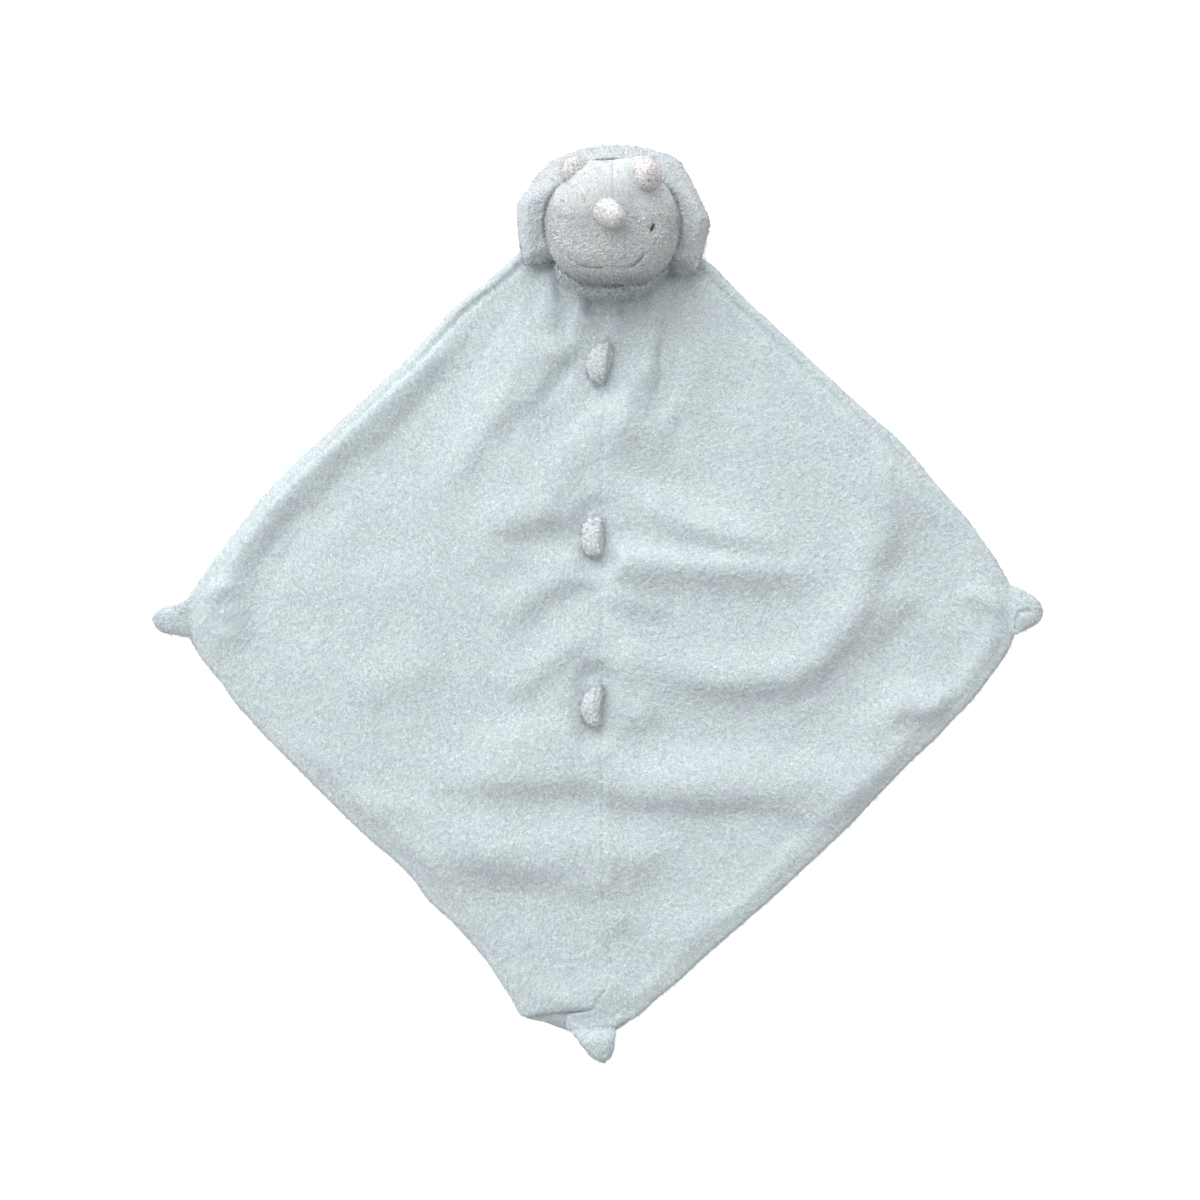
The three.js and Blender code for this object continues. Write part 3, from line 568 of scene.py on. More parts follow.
# the blanket's folds and hollows: height, breadth to its left and to its right, then the x and y of its
# route
folds = [
    (9, 7, 10, -70, 164, -112, 129, -160, 85, -198, 46, -222, -3),
    (3.9, 10, 15, 14, 176, -35, 130, -40, 115, -62, 104, -96, 43), (3.3, 14, 10, -75, 41, -30, 50, -11, 53),
    (5.5, 14, 9, -59, -16, -26, 11, 33, 31), (2.9, 12, 8, -57, -56, -2, -13),
    (5.7, 16, 11, -120, -101, -38, -99, 0, -99, 34, -109, 135, -104),
    (5.4, 18, 14, -125, -148, -78, -138, -32, -150, -7, -138, 55, -144), (9, 8, 9, 24, 188, 32, 113),
    (5.6, 15, 13, 3, 105, 46, 97), (6.4, 10, 10, 5, 70, 49, 46, 112, 28),
    (6.7, 8, 12, -19, 27, 71, 20, 132, 15), (2.9, 7, 7, -4, 8, 43, -7),
    (5.6, 14, 10, 10, -26, 59, -43, 103, -42, 118, -39, 150, 2, 149, 21, 158, 56),
    (2, 8, 9, 6, -73, 36, -58), (2.8, 8, 16, 155, 92, 163, 44, 151, 8), (5.3, 13, 8, 158, -59, 205, -58),
    (2.7, 7, 6, 200, 8, 236, -5), (2.5, 7, 6, -231, 7, -198, 10), (1, 6, 6, -220, -17, -194, -21),
    (2.8, 11, 10, -23, -160, 15, -154), (2.8, 9, 7, 21, -169, -8, -206),
    (-7, 9, 14, 71, 100, 67, 154, 23, 185), (-5.6, 8, 31, -136, 63, -104, 104, -68, 141),
    (-6.4, 6, 6, -79, 122, -54, 169, -22, 196), (-3.6, 8, 12, -196, 6, -158, 50, -120, 97),
    (2.2, 14, 24, 176, -125, 132, -104, 92, -89), (-5.8, 25, 20, 16, 116, 29, 160, 76, 182),
    (-0.8, 22, 23, 8, 22, 0, 71, -15, 116), (-6.1, 28, 34, 214, -46, 180, -24, 159, -8),
    (5.5, 7, 14, -35, -219, 12, -238, 43, -207), (-4.7, 21, 24, 41, -222, 15, -196, -4, -180),
    (-4.4, 18, 32, 122, -102, 130, -58, 166, -19), (4.3, 12, 16, -76, -87, -33, -76, 12, -85),
    (-4.5, 13, 6, 31, 82, 37, 128, 46, 183), (-5.6, 24, 33, 92, -170, 71, -150, 43, -139),
    (-5.2, 25, 30, 30, 26, -14, 62, -52, 82), (-7, 14, 34, -62, 29, -23, 33, 34, 28),
    (1, 6, 6, 19, -38, -4, -3, -8, 47), (1.8, 6, 11, -16, -46, 11, -38, 23, -17),
    (-4.5, 8, 6, -193, -28, -186, 18, -158, 65), (2.1, 7, 8, 56, 23, 24, 45, -25, 50),
    (-5.7, 21, 34, 172, 0, 188, 27, 211, 47), (-5.8, 30, 34, -4, -230, -38, -184, -55, -137),
    (-3.3, 31, 28, -117, 8, -129, 55, -154, 88), (-3.6, 22, 21, -69, 112, -72, 145, -76, 193),
    (-4.4, 26, 29, -5, 97, -25, 114, -52, 125), (-3, 21, 33, 78, 83, 68, 141, 28, 171),
    (6.5, 27, 21, 163, -141, 160, -102, 138, -44), (-7, 34, 24, 170, -100, 146, -78, 126, -52),
    (-4.7, 26, 13, 9, -73, 70, -75, 131, -66), (3.1, 6, 11, 12, -125, 1, -93, -13, -52),
    (-5.3, 24, 22, 28, -190, 50, -132, 47, -95), (3.9, 21, 19, -50, 4, -37, 51, -7, 78),
    (-7, 26, 22, 35, -145, 8, -97, 7, -53), (-5.6, 11, 17, -166, -97, -190, -49, -208, -3),
    (2, 10, 10, -167, -124, -118, -115, -70, -126), (2.4, 15, 15, -146, -54, -115, -42, -81, -27),
    (-2.7, 21, 20, -163, -38, -184, 1, -209, 38), (1.9, 18, 24, 12, 33, 14, 71, 23, 108),
    (1.7, 11, 11, -43, 56, -1, 92, 29, 131), (5.8, 10, 9, 31, -4, 11, 26, -9, 63),
    (-2.7, 12, 10, 136, -134, 95, -124, 66, -112), (4, 27, 15, -48, 110, -31, 142, -4, 176),
    (-4.3, 24, 29, -29, 110, -43, 155, -55, 192), (2.6, 20, 19, 3, 31, -15, 70, -29, 109),
    (2.8, 20, 16, -55, 21, -9, 33, 14, 56), (1.9, 20, 21, 41, 38, 19, 55, -13, 61),
    (-4, 25, 25, -1, 36, 46, 68, 90, 107), (-2.6, 16, 13, 53, 81, 38, 116, 35, 154),
]
foldStyle = {
    "fade": 0.3,  # each fold rises and dies out over this share of its route
    "lift": 5.0,  # how high the cloth stands where it has no fold
    "edge": 16,  # it comes down to its edge over this breadth
}

# gathers of the cloth below the jaw, the creases between them, and two creases from the plates
gathers = [
    (3, 8, 6.5, -27, 196, -26, 176, -32, 150), (4, 9, 5, -7, 197, -9, 172, -13, 144),
    (3.6, 7, 4.5, 12, 197, 11, 170, 9, 146), (3.4, 9, 5, 33, 195, 32, 166, 29, 136),
    (-3, 3.2, 3, -2, 181, -3, 171, -5, 160), (-2.6, 3, 3, 14.5, 178, 14, 170, 12.5, 161),
    (-1.6, 3.6, 3.4, -23, 186, -22, 177, -21, 168), (-2.6, 4, 6, 46, 184, 42, 150, 39, 118, 28, 102),
    (-1.6, 5, 5, -1, 150, -22, 126, -42, 102),
]


class Lattice:
    # heights on a square grid of points, read between them
    def __init__(self, low, high, step):
        self.low, self.step = low, step
        self.xs = np.arange(low[0], high[0] + step, step)
        self.ys = np.arange(low[1], high[1] + step, step)
        self.x, self.y = np.meshgrid(self.xs, self.ys)
        self.height = np.zeros(self.x.shape)

    def read(self, x, y):
        column = np.clip((np.asarray(x, float) - self.low[0]) / self.step, 0, len(self.xs) - 1.001)
        row = np.clip((np.asarray(y, float) - self.low[1]) / self.step, 0, len(self.ys) - 1.001)
        c, r = column.astype(int), row.astype(int)
        u, v = column - c, row - r
        h = self.height
        near = h[r, c] * (1 - u) + h[r, c + 1] * u
        far = h[r + 1, c] * (1 - u) + h[r + 1, c + 1] * u
        return near * (1 - v) + far * v


def addFold(field, height, left, right, *route):
    line = smoothPath(np.reshape(route, (-1, 2)), 12)
    margin = 2.6 * max(left, right)
    columns = (field.xs > line[:, 0].min() - margin) & (field.xs < line[:, 0].max() + margin)
    rows = (field.ys > line[:, 1].min() - margin) & (field.ys < line[:, 1].max() + margin)
    box = np.ix_(rows, columns)
    gap, along, side = nearPath(field.x[box], field.y[box], line)
    fade = ease(along, 0, foldStyle["fade"]) * ease(1 - along, 0, foldStyle["fade"])
    field.height[box] += height * fade * bump(gap, 0, np.where(side > 0, left, right))


def seamAt(y):
    y = np.asarray(y, float)
    lean = blanket["seamDrift"] * ease(y, blanket["driftFrom"], blanket["driftTo"])
    lean = lean + blanket["lowDrift"] * ease(-y, *blanket["lowSpan"])
    lean = lean + blanket["tailDrift"] * ease(-y, *blanket["tailSpan"])
    return blanket["seamX"] + lean + blanket["endDrift"] * ease(-y, *blanket["endSpan"])


plateMiddles = {"Upper": 134.9, "Middle": 37.0, "Lower": -58.0}
# the middle of the calm place under the head, and from where to where it fades; the same beside each plate
calmZones = {
    "headY": 210.4, "headSpan": (60, 80),
    "plateSide": 3, "plateHalf": 12.2, "plateSpan": (5, 17),
}


def calmPlaces(x, y):
    # the cloth lies flat under the head and beside the plates in the seam
    calm = ease(np.hypot(x - neckSpot[0], y - calmZones["headY"]), *calmZones["headSpan"])
    for middle in plateMiddles.values():
        beyond = np.maximum(0, np.abs(y - middle) - calmZones["plateHalf"])
        gap = np.hypot(x - seamAt(y) + calmZones["plateSide"], beyond)
        calm = calm * ease(gap, *calmZones["plateSpan"])
    return calm


foldField = Lattice((-258, -266), (258, 212), 1.0)
for fold in folds:
    addFold(foldField, *fold)
# where the hollows would go below the base, the cloth levels out softly
raised = foldField.height + foldStyle["lift"]
raised = np.maximum(0, 0.5 * (raised + np.sqrt(raised ** 2 + 4)) - 0.4)
foldField.height = raised * calmPlaces(foldField.x, foldField.y)
for gather in gathers:
    addFold(foldField, *gather)
foldField.height = np.maximum(foldField.height, 0)
print("folds laid")


# the hem: how far and over which breadth it rounds down, then the height, place and width of its ridge and
# of its sewn groove
hem = {"drop": 2.0, "round": 2.6, "ridge": (0.6, 3.2, 1.8), "groove": (1.4, 6.4, 1.3)}


def roundDown(gap, breadth):
    # 0 inside, and 1 at the edge of the cloth, along a quarter of a circle
    return 1 - np.sqrt(np.clip(1 - (1 - np.clip(gap / breadth, 0, 1)) ** 2, 0, 1))


def hemShape(gap, strength):
    # height beside the edge
    (ridge, *ridgeAt), (groove, *grooveAt) = hem["ridge"], hem["groove"]
    stitched = ridge * bump(gap, *ridgeAt) - groove * bump(gap, *grooveAt)
    return strength * stitched - hem["drop"] * roundDown(gap, hem["round"])


def foldHeight(x, y, outline):
    # height of the folds, which die out at the blanket's edge and towards its tail
    inside = ease(nearPath(x, y, outline)[0], 0, foldStyle["edge"])
    return foldField.read(x, y) * inside * ease(y, *blanket["tailFade"])


def panelPlaces(side, upper, lower, cells):
    # a triangle of points between the seam and the outer edge
    upperEdge = smoothPath(upper, cells + 1)
    lowerEdge = smoothPath(lower, cells + 1)
    outer = np.vstack([upperEdge, lowerEdge[1:]])
    seamY = np.linspace(outer[0, 1], outer[-1, 1], 2 * cells + 1)
    inner = np.column_stack([seamAt(seamY) + side * 0.03, seamY])
    index = {}
    level, share = [], []
    for i in range(cells + 1):
        for j in range(i + 1):
            index[i, j] = len(level)
            k = i + j
            level.append(k)
            share.append((i - j) / max(k if k <= cells else 2 * cells - k, 1))
    level, share = np.array(level), np.array(share)
    spots = inner[level] * (1 - share[:, None]) + outer[level] * share[:, None]
    faces = []
    for i in range(cells):
        for j in range(i + 1):
            if j < i:
                faces.append((index[i, j], index[i + 1, j], index[i + 1, j + 1], index[i, j + 1]))
            else:
                faces.append((index[i, i], index[i + 1, i], index[i + 1, i + 1]))
    rim = [index[i, 0] for i in range(cells + 1)]
    rim += [index[cells, j] for j in range(1, cells + 1)]
    rim += [index[i, i] for i in range(cells - 1, 0, -1)]
    return spots, faces, rim, outer


# the back's tail comes out under the tuck, so it has its own end
backTail = {
    "right": [(14.0, -240.0), (6.0, -243.4), (-3.0, -244.2)],
    "left": [(-40.0, -235.4), (-31.2, -237.0), (-22.3, -240.6), (-12.0, -243.8), (-3.0, -244.2)],
}


def wholeOutline():
    right = smoothPath(rightUpper, 200), smoothPath(rightLower[:-6] + backTail["right"], 200)
    left = smoothPath(leftUpper, 200), smoothPath(leftLower[:-5] + backTail["left"], 200)
    return np.vstack([right[0], right[1][1:], left[1][::-1][1:], left[0][::-1][1:-1]])


def frontCloth(name, node, side, upper, lower):
    cells = blanket["cells"]
    spots, faces, rim, outer = panelPlaces(side, upper, lower, cells)
    x, y = spots.T
    edgeGap = nearPath(x, y, outer[::4])[0]
    outline = wholeOutline()[::4]
    # the groove of the hem shows on the upper sides and fades out downwards
    beside = hemShape(edgeGap, 0.05 + 0.95 * ease(y, -20, 150))
    top = blanket["frontTop"] + foldHeight(x, y, outline) + beside
    top -= blanket["seamDip"] * bump(x, seamAt(y), 1.3)
    under, underFaces, underRim, _ = panelPlaces(side, upper, lower, cells // 4)
    base = blanket["frontBase"] + foldHeight(*under.T, outline)
    points, shell = closeShell(
        np.column_stack([x, y, top]), faces, rim, np.column_stack([under, base]), underFaces, underRim)
    chance = 0.4 * bump(edgeGap, 0, 0.9) + 0.006
    piece = plushPiece(name, points, shell, len(spots), blanketCoat, blanketPlush, chance=chance,
                       seam=rim[len(rim) // 2:])
    tell(piece, node)
    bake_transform(piece)


def backSheet():
    # one sheet under the whole blanket; its underside carries the pile
    outline = wholeOutline()
    skins = []
    for rings, around, middle, swell in ((100, 640, 0.45, 0.7), (25, 160, 2.2, -0.4)):
        edge = smoothPath(outline[::4], around, closed=True)
        places, faces, rim = discGrid(rings, around)
        ring = places[:, 0]
        spot = np.array([edge[int(round(a * around / (2 * math.pi))) % around] for a in places[:, 1]])
        spot = np.array((0.0, -8.0)) * (1 - ring[:, None]) + spot * ring[:, None]
        # 200 mm is about the way from the middle to the edge
        height = middle + swell * roundDown((1 - ring) * 200, 2.4)
        skins.append((np.column_stack([spot, height]), faces, rim))
    points, shell = closeShell(*skins[0], *skins[1])
    piece = plushPiece("backCloth", points, shell, len(skins[0][0]), backCoat, blanketPlush)
    tell(piece, "back_panel", "blanket")


blanketCoat = {"depth": 0.65, "size": 1.5, "curl": {"length": 1.2, "thick": 0.22}}
backCoat = {"depth": 0.5, "size": 4.0}
frontCloth("frontClothLeft", "front_panel_left", -1, leftUpper, leftLower)
frontCloth("frontClothRight", "front_panel_right", 1, rightUpper, rightLower)
backSheet()
print("blanket made")


stitches = {
    "from": -214, "to": 166, "step": 3.6, "besidePlate": 12,
    "length": 2.5, "radius": 0.3, "sink": 0.15, "arch": 0.35,
}


def stitchPiece(name, parts, material, node, body):
    points, faces = bundle(parts)
    tell(makeMesh(name, points, faces, material), node, body)


def seamStitches():
    parts = []
    for y in np.arange(stitches["from"], stitches["to"], stitches["step"]):
        # the plates cover the seam
        if any(abs(y - middle) < stitches["besidePlate"] for middle in plateMiddles.values()):
            continue
        path = []
        for share in np.linspace(0, 1, 5):
            spotY = y + share * stitches["length"]
            spotX = float(seamAt(spotY))
            fold = float(foldField.read(seamAt(spotY), spotY))
            height = blanket["frontTop"] - blanket["seamDip"] + fold - stitches["sink"]
            path.append((spotX, spotY, height + stitches["arch"] * math.sin(math.pi * share)))
        parts.append(thread(path, stitches["radius"]))
    stitchPiece("seamStitches", parts, paleThread, "centre_seam_thread", "blanket")


seamStitches()


# corners, each a rolled finger of both cloths: middle x, y, z, half width, half height; "across" is the
# direction of their width
knots = {
    "Left": {
        "start": (-0.226, -0.009, 0.005), "end": (-0.240, -0.009, 0.005),
        "across": (0, 1), "stations": [
            (-221, -8, 3.6, 3, 0.7), (-225, -8, 3.6, 11.5, 0.8), (-230.5, -8.6, 4.1, 11, 1.4),
            (-234.5, -9, 4.6, 10, 2.6), (-239, -9.4, 5, 8.3, 3.5), (-245, -9.7, 5, 7.1, 3.9),
            (-249.8, -9.3, 5.3, 4.6, 3.8), (-251.6, -9, 5.1, 0.1, 0.1),
        ],
        "creases": [],
    },
    "Right": {
        "start": (0.225, -0.004, 0.005), "end": (0.239, -0.004, 0.005),
        "across": (0, 1), "stations": [
            (221, -4, 3.6, 3, 0.7), (226, -4, 3.6, 14, 0.8), (232.5, -4.2, 4, 14, 1.3),
            (236.5, -4.2, 5, 13.2, 3.4), (241, -4.3, 5.7, 11, 5), (246, -4.5, 5.7, 8.3, 5),
            (249.8, -4.9, 5.3, 5, 3.8), (251.3, -5, 5.1, 0.1, 0.1),
        ],
        "creases": [([(243.0, -4.6), (238.0, -5.4), (236.4, -9.0), (236.2, -19.0)], 1.8, 1.2)],
    },
    "Bottom": {
        "start": (-0.002, -0.235, 0.005), "end": (-0.002, -0.247, 0.005),
        "across": (1, 0), "stations": [
            (-5, -230, 3.3, 3, 0.7), (-5, -233, 3.3, 12, 0.8), (-3.4, -240.4, 3.5, 12.6, 1),
            (-1.6, -244.6, 5.1, 11.4, 4), (-0.8, -248, 5.7, 9.9, 5), (0.6, -252, 5.6, 8.2, 5),
            (1.8, -257, 5.3, 5.2, 4), (2.6, -259.8, 5.1, 0.1, 0.1),
        ],
        "creases": [
            ([(-5, -241.5), (2, -241.8), (9.5, -240.8)], 1.5, 1.2), ([(-9, -247), (-4, -241.5)], 1.0, 1.0),
            ([(-8, -237), (-8.4, -231)], 1.0, 1.0),
        ],
    },
}

creaseSpan = (5, 8)  # the creases are on the upper side only
knotCoat = {"depth": 0.7, "size": 1.4, "curl": {"length": 1.1, "thick": 0.22}}
for name, knot in knots.items():
    points, faces = loft([(*spot, *knot["across"]) for spot in knot["stations"]], 72, 132, 2.3)
    for route, depth, breadth in knot["creases"]:
        gap = nearPath(points[:, 0], points[:, 1], smoothPath(route, 12))[0]
        points[:, 2] -= depth * bump(gap, 0, breadth) * ease(points[:, 2], *creaseSpan)
    piece = plushPiece("tipKnot" + name, points, faces, len(points), knotCoat, blanketPlush, 3.0, 0.02)
    tell(piece, "corner_knot_" + name.lower())
    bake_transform(piece)


# leaf-shaped plates sewn into the seam, flopped to the left; stations as for the corners, wide along x
plates = {
    "Upper": {"overHinge": 3.5, "stations": [
        (4.6, 148.2, 6.6, 0.1, 0.1), (3.6, 146.2, 7.6, 3.4, 2.2), (1.8, 142, 8, 6.2, 3.4),
        (0.3, 136.5, 8.2, 7, 3.7), (-0.6, 131, 8, 5.8, 3.4), (-0.2, 126, 7.6, 3.4, 2.4),
        (0.6, 123.4, 6.8, 0.1, 0.1),
    ]},
    "Middle": {"overHinge": 1.1, "stations": [
        (-1.6, 49.4, 6.8, 0.1, 0.1), (-2, 47.6, 7.6, 3.4, 2.3), (-2.9, 43, 8, 5.8, 3.4),
        (-3.2, 37, 8.2, 6.4, 3.7), (-3, 31.6, 8, 5.8, 3.4), (-2.2, 27.4, 7.6, 3.6, 2.4),
        (-1.8, 25.6, 6.8, 0.1, 0.1),
    ]},
    "Lower": {"overHinge": 1.3, "stations": [
        (1.6, -46, 6.8, 0.1, 0.1), (0.4, -47.8, 7.6, 2.8, 2.2), (-2.2, -51.6, 8, 5.2, 3.3),
        (-4, -57, 8.2, 5.7, 3.7), (-4, -63, 8, 5, 3.4), (-2.6, -68, 7.6, 3.2, 2.4),
        (-1.4, -70.4, 6.8, 0.1, 0.1),
    ]},
}

plateShape = {"hinge": 6.75, "slope": 1.73, "tilt": 0.14, "lowest": 5.2}
plateCoat = {"depth": 0.85, "size": 1.6, "curl": {"length": 1.3, "thick": 0.24}}
for name, plate in plates.items():
    points, faces = loft([(*spot, 1, 0) for spot in plate["stations"]], 64, 84, 2.2)
    beyond = points[:, 0] - seamAt(points[:, 1])
    points[:, 2] = np.maximum(points[:, 2] + plateShape["tilt"] * (beyond + 4), plateShape["lowest"])
    # on the hinge's side it slopes off, so that it can fold over onto the cloth
    slope = plateShape["hinge"] + plate["overHinge"] - plateShape["slope"] * beyond
    points[:, 2] = np.minimum(points[:, 2], slope)
    # the plates take the lighter copy of the plush: painted light
    piece = plushPiece("spinePlate" + name, points, faces, len(points), plateCoat, paintedLightPlush, 5.0, 0.08)
    tell(piece, "spine_plate_" + name.lower(), "spine_" + name.lower())
print("knots and plates made")


head = {
    "middle": (8.0, 210.857, 33.0),
    "half": (36.0, 32.8, 27.0),
    "power": 2.6,  # the lower face is fuller than an ellipse
    "crownPower": 2.15,
    "cover": 2.0,
    "rings": 100, "around": 384,
    "seamGroove": 0.25, "seamWidth": 0.9, "foreheadSpan": (216, 226),
    "frontSpan": (33, 40),  # the face's dents start between these heights
    "socketRadius": 9.8, "socketTop": 23.8,
    "mouth": [
        (-18.5, 194.5), (-14.2, 188), (-5.6, 184.4), (5.1, 183.9), (16.6, 184), (21.6, 186.6),
        (26.2, 191.6),
    ],
    "mouthWidth": 0.9, "mouthThread": 0.24, "mouthSink": (1.3, 0.8),
    # how deep the mouth is drawn in, by the share of the way along it
    "mouthShares": (0, 0.12, 0.35, 0.6, 0.75, 0.92, 1), "mouthDepths": (0.3, 1.3, 0.9, 0.6, 1.2, 1.4, 0.3),
    "eyes": {"Left": (-19.2, 209.7, -1), "Right": (29.6, 205.4, 1)},
    "eyeHalf": (0.75, 2.8), "eyeSlant": 29, "eyeThread": 0.22,
    "eyeDent": {"Left": 0.7, "Right": 1.1}, "eyeDentWidth": 3.0, "eyeSink": {"Left": 1.35, "Right": 0.45},
    # mounds that carry the horns: x, y, height, breadth; they start between the heights of moundSpan
    "moundSpan": (36, 50),
    "mounds": [
        (-7, 232.5, 5, 10), (18, 234.5, 6.5, 9.5), (-5, 219.5, 7.5, 14), (6, 228, 4, 16),
    ],
}
crest = {
    "middle": (8.7, 222.357, 8.2), "tilt": math.radians(7.4), "halfThickness": 4.5,
    "edge": {1: 9, -1: 13},  # breadth of the rounded edge, in front and behind
    "roll": 0.6, "cup": 8.5, "rise": 17.0,
    "lobeSpan": (-2, 18),  # the lobes pass into the crown between these two heights of the outline
    "cupWall": (1.02, 1.12),  # in shares of the head's breadth, as riseSpan and the crack's place and width
    "riseSpan": (0.85, 1.45),
    "crack": 14.0, "crackAt": (1.078, 0.03), "crackEnds": (11, 15),
    "lowest": 0.9, "lobeLift": 5.4,  # the back keeps this far off the table
    "centre": (0.0, 5.0),
    "rings": 92, "around": 480, "cover": 2.0,
    "coat": {"depth": 0.85, "size": 1.15, "curl": {"length": 1.3, "thick": 0.22}},
    "outline": [
        (-50.6, -31), (-53.4, -17.2), (-54.5, -2.8), (-52.9, 4.2), (-49.5, 10.1), (-38.7, 24.8),
        (-30.2, 30.1), (-21.7, 33.6), (-11.5, 36.3), (-0.8, 37.1), (9.4, 36.8), (17.9, 35.4), (27.5, 33),
        (35.4, 29.7), (39.4, 24.8), (44.5, 15.4), (50.2, 3), (54.1, -5.6), (54.4, -9.6), (52.4, -17.2),
        (50.2, -26.5), (47.3, -35.8), (44.5, -37.6), (37.7, -37.9), (30.9, -34.6), (25, -30.5), (12, -21.1),
        (0, -18.4), (-18, -22.2), (-34.7, -29.8), (-41.5, -31.5), (-47.2, -31.9),
    ],
}


def headPlaces(side, rings, around, grow):
    # half of the head: rings run from the cheek to the seam
    places, faces, rim = discGrid(rings, around)
    turn = places[:, 0] * math.pi / 2
    x, y, z = side * np.cos(turn), np.sin(turn) * np.cos(places[:, 1]), np.sin(turn) * np.sin(places[:, 1])
    plain = np.sqrt(np.clip(1 - y * y, 1e-9, 1))
    power = np.where(y < 0, head["power"], head["crownPower"])
    widen = np.clip(1 - np.abs(y) ** power, 0, 1) ** (1 / power) / plain
    spots = np.column_stack([
        x * widen * (head["half"][0] + grow), y * (head["half"][1] + grow),
        z * widen * (head["half"][2] + grow),
    ])
    spots[:, 0] = side * np.maximum(side * spots[:, 0], 0.03)
    return spots + head["middle"], faces, rim


def crestTop(y):
    # the frill's front face, under the head
    middle, tilt = crest["middle"], crest["tilt"]
    return middle[2] + (middle[1] - y) * math.tan(tilt) + (crest["halfThickness"] + 0.3) / math.cos(tilt)


def seatHead(spots, grow):
    # the head rests on the frill, and takes the neck in a socket
    base = crestTop(spots[:, 1]) - grow
    over = spots[:, 2] - base
    spots[:, 2] = base + 0.5 * (over + np.sqrt(over ** 2 + 1))
    away = np.hypot(spots[:, 0] - neckSpot[0], spots[:, 1] - neckSpot[1])
    wall = head["socketRadius"] - grow
    socket = (head["socketTop"] - grow) * (1 - ease(away, wall, wall + 0.8))
    low = spots[:, 2] < 30
    spots[low, 2] = np.maximum(spots[low, 2], socket[low])
    return spots


def faceHeight(x, y):
    # height of the plain face over a place
    shareY = (y - head["middle"][1]) / head["half"][1]
    power = head["power"] if shareY < 0 else head["crownPower"]
    full = max(1 - abs(shareY) ** power, 1e-6) ** (1 / power)
    shareX = (x - head["middle"][0]) / (head["half"][0] * full)
    return head["middle"][2] + head["half"][2] * full * math.sqrt(max(0, 1 - shareX ** 2))


def faceDents(spots):
    # how far the face is drawn in at its seam, mouth and eyes
    x, y, z = spots.T
    front = ease(z, *head["frontSpan"])
    gap, along, _ = nearPath(x, y, smoothPath(head["mouth"], 40))
    mouthDepth = np.interp(along, head["mouthShares"], head["mouthDepths"])
    dents = mouthDepth * bump(gap, 0, head["mouthWidth"])
    for side, (ex, ey, _) in head["eyes"].items():
        dents = dents + head["eyeDent"][side] * bump(np.hypot(x - ex, y - ey), 0, head["eyeDentWidth"])
    for mx, my, height, breadth in head["mounds"]:
        dents = dents - ease(z, *head["moundSpan"]) * height * bump(np.hypot(x - mx, y - my), 0, breadth)
    # the seam is deeper on the forehead
    seam = head["seamGroove"] * bump(x, head["middle"][0], head["seamWidth"])
    seam = seam * (0.35 + 0.65 * ease(y, *head["foreheadSpan"]))
    return front * (dents + seam)


def headCover(name, node, side):
    spots, faces, rim = headPlaces(side, head["rings"], head["around"], 0)
    normals = vertexNormals(spots, faces)
    outwards = np.sign(np.einsum("ij,ij->i", normals, spots - head["middle"]).mean())
    spots = seatHead(spots - outwards * normals * faceDents(spots)[:, None], 0)
    inner, innerFaces, innerRim = headPlaces(side, head["rings"] // 4, head["around"] // 4, -head["cover"])
    points, shell = closeShell(spots, faces, rim, seatHead(inner, -head["cover"]), innerFaces, innerRim)
    edge = bump(spots[:, 1], 179, 2.6) * ease(spots[:, 2], 22, 28) * (1 - ease(spots[:, 2], 42, 50))
    chance = (0.06 + 0.4 * edge) * ease(spots[:, 2], 16, 22) * (1 - 0.7 * ease(spots[:, 1], 216, 228))
    # the forehead faces the light: its pile lies flatter and its painted shade is fainter
    brushedAndLit = 0.8 * ease(points[:, 1], 206, 224) * ease(points[:, 2], 25, 35)
    piece = plushPiece(name, points, shell, len(spots), headCoat, headPaintedLightPlush, 1.0 + 0.1 * side, chance, rim,
                       brushedAndLit, 1 + 0.8 * edge)
    tell(piece, node, "head")


headCoat = {"depth": 1.0, "size": 1.05, "curl": {"length": 1.3, "thick": 0.2}}
headCover("headCoverLeft", "head_cover_left", -1)
headCover("headCoverRight", "head_cover_right", 1)


def fillingPiece(name, node, points, faces):
    points = points + vertexNormals(points, faces) * 0.3 * (pile(points, 5.0)[:, None] - 0.5)
    piece = makeMesh(name, points, facedOut(points - points.mean(0), faces), fibreFilling)
    tell(piece, node, "head")


def headFilling():
    sides = [headPlaces(side, 24, 96, -2.4) for side in (-1, 1)]
    left, right = sides[0][0], sides[1][0]
    right[sides[1][2]] = left[sides[0][2]]
    points, faces = closeShell(left, sides[0][1], sides[0][2], right, sides[1][1], sides[1][2])
    fillingPiece("headFilling", "head_filling", seatHead(points, -2.4), faces)


headFilling()


jaw = {
    "stations": [
        (-22, 189, 21.4, 0.1, 0.1, -0.6, -0.8), (-20.4, 185.2, 21.6, 2, 3, -0.7, -0.7),
        (-15, 180, 21.8, 3, 5, -0.5, -0.86), (-5, 176, 22.2, 3.5, 6, -0.2, -0.98),
        (6, 174.6, 22.2, 3.5, 6.2, 0, -1), (18, 175.9, 22.2, 3.5, 6, 0.2, -0.98),
        (28, 179.6, 21.8, 3.1, 5, 0.45, -0.9), (35.4, 185.8, 20.4, 2, 2.8, 0.7, -0.7),
        (37.4, 188.8, 21.2, 0.1, 0.1, 0.7, -0.7),
    ],
    "coat": {"depth": 1.4, "size": 1.9, "curl": {"length": 2.1, "thick": 0.27}},
}


def lowerJaw():
    points, faces = loft(jaw["stations"], 150, 64, 2.1)
    # the jaw takes the lighter copy of the plush: painted light
    piece = plushPiece("jawPad", points, faces, len(points), jaw["coat"], paintedLightPlush, 2.0, 0.2)
    tell(piece, "lower_jaw", "head")
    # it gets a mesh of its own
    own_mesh(piece)


lowerJaw()


